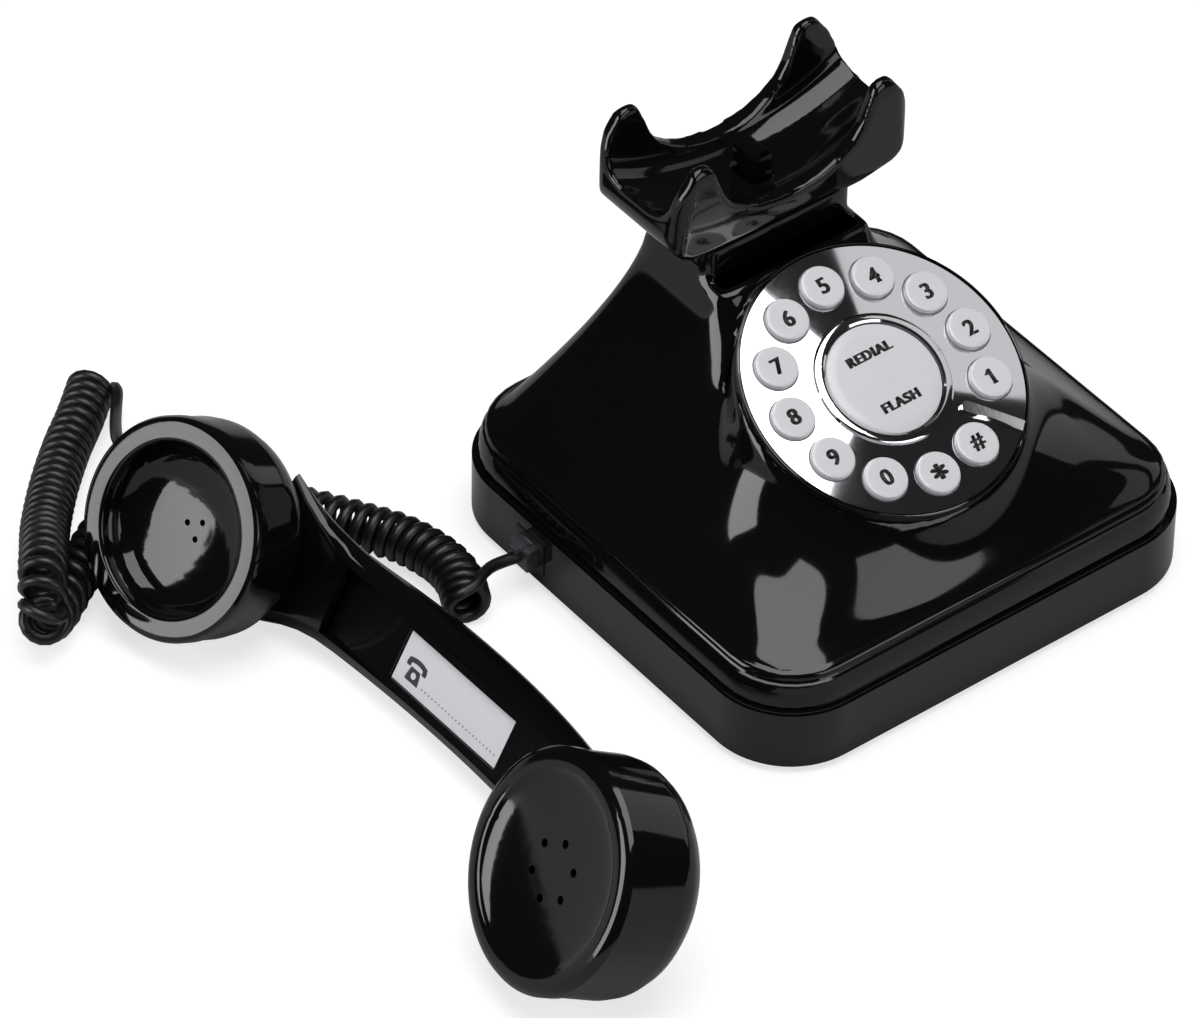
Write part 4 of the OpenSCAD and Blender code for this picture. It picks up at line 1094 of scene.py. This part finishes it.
@dataclass
class HandsetLabel:
    """A small printed telephone sign and a dotted line, on the card under the handset's window."""

    card_top: float = -37.8
    sign_x: float = -15.8
    sign_y: float = -1.1
    # Sizes on the sign are in tenths of its own size
    sign_size: float = 7.2
    arc_centre: float = -9.0
    arc_angle: float = 49.4
    arc_steps: int = 14
    arc_end: tuple[tuple[float, float], ...] = ((-4.6, 1.0), (-5.43, 2.81))
    cup_size: tuple[float, float] = (2.3, 2.2)
    cup_place: tuple[float, float] = (4.45, 0.9)
    body_place: float = -2.6
    body_half: float = 2.9
    body_flat: float = 1.05
    body_wide: float = 1.15
    body_taper: float = 0.22
    dial_r: float = 1.35
    facets: int = 24
    line_y: float = -4.3
    line_from: float = -11.2
    line_to: float = 20.4
    dot_step: float = 1.5
    dot_r: float = 0.26
    dot_facets: int = 8
    thick: float = 0.04

    def frame(self) -> Matrix:
        """The card's own frame: words run from the mouth end to the ear end."""
        return HANDSET_FRAME @ Matrix.Translation(Vector((0, 0, self.card_top)) * MM) @ turned(180, "Z")

    def sign(self) -> bmesh.types.BMesh:
        """The telephone sign: a curved handset over a body with a round dial.

        Returns:
            The sign as a bmesh, in the card's frame.
        """
        shape = bmesh.new()
        unit = self.sign_size / 10 * MM
        ends = [shape.verts.new((x * unit, y * unit, 0)) for x, y in self.arc_end]
        bmesh.ops.spin(shape, geom=[shape.edges.new(ends), *ends], cent=(0, self.arc_centre * unit, 0),
                       axis=(0, 0, -1), angle=math.radians(self.arc_angle), steps=self.arc_steps,
                       use_merge=False)
        for side in (-1, 1):
            cup = bmesh.ops.create_grid(shape, x_segments=1, y_segments=1, size=0.5)["verts"]
            bmesh.ops.scale(shape, vec=(self.cup_size[0] * unit, self.cup_size[1] * unit, 1), verts=cup)
            place = (side * self.cup_place[0] * unit, self.cup_place[1] * unit, 0)
            bmesh.ops.translate(shape, vec=place, verts=cup)
        half = self.body_half * unit
        dial = self.ring(shape, self.dial_r * unit)
        body = self.ring(shape, half)
        for v in body:
            x, y = v.co.x, v.co.y
            grow = 1.0 / max(abs(x), abs(y) * self.body_flat) * half
            wide = self.body_wide - self.body_taper * (y * grow) / half
            v.co = Vector((x * grow * wide, y * grow, 0))
        bmesh.ops.translate(shape, vec=(0, self.body_place * unit, 0), verts=dial + body)
        edges = list({edge for v in dial + body for edge in v.link_edges})
        bmesh.ops.bridge_loops(shape, edges=edges)
        raise_print(shape, self.thick * MM)
        bmesh.ops.translate(shape, vec=(self.sign_x * MM, self.sign_y * MM, 0), verts=shape.verts[:])
        return shape

    def ring(self, shape: bmesh.types.BMesh, radius: float) -> list[bmesh.types.BMVert]:
        """Adds an open ring of corners to the sign and returns them."""
        return bmesh.ops.create_circle(shape, cap_ends=False, segments=self.facets, radius=radius)["verts"]

    def dots(self) -> bmesh.types.BMesh:
        """The dotted writing line.

        Returns:
            The dots as a bmesh, in the card's frame.
        """
        shape = bmesh.new()
        count = int((self.line_to - self.line_from) / self.dot_step)
        for k in range(count + 1):
            disc = bmesh.ops.create_circle(shape, cap_ends=True, segments=self.dot_facets,
                                           radius=self.dot_r * MM)
            place = Vector((self.line_from + k * self.dot_step, self.line_y, 0)) * MM
            bmesh.ops.translate(shape, verts=disc["verts"], vec=place)
        raise_print(shape, self.thick * MM)
        return shape

    def build(self, finishes: Finishes) -> None:
        """Prints the sign and the line on the card.

        Args:
            finishes: the telephone's finishes.
        """
        prints = (("label_sign", self.sign(), "legend"), ("label_line", self.dots(), "grey_ink"))
        for name, shape, ink in prints:
            bmesh.ops.transform(shape, matrix=self.frame(), verts=shape.verts[:])
            fixed(shape, name, finishes[ink], "handset")
        log.info("label: sign and dotted line")


# ---- build -----------------------------------------------------------------


def main() -> None:
    """Builds camera, finishes, cord, mouldings, prints and studio, in that order."""
    studio = Studio()
    studio.camera()
    finishes = Finishes()
    HandsetCord().build(finishes)
    SoftMouldings().build(finishes)
    DialLegends().build(finishes)
    HandsetLabel().build(finishes)
    finishes.dress_nodes()
    studio.build()
    log.info("pieces dressed: %d", len(frame["nodes"]))


if __name__ == "__main__":
    main()
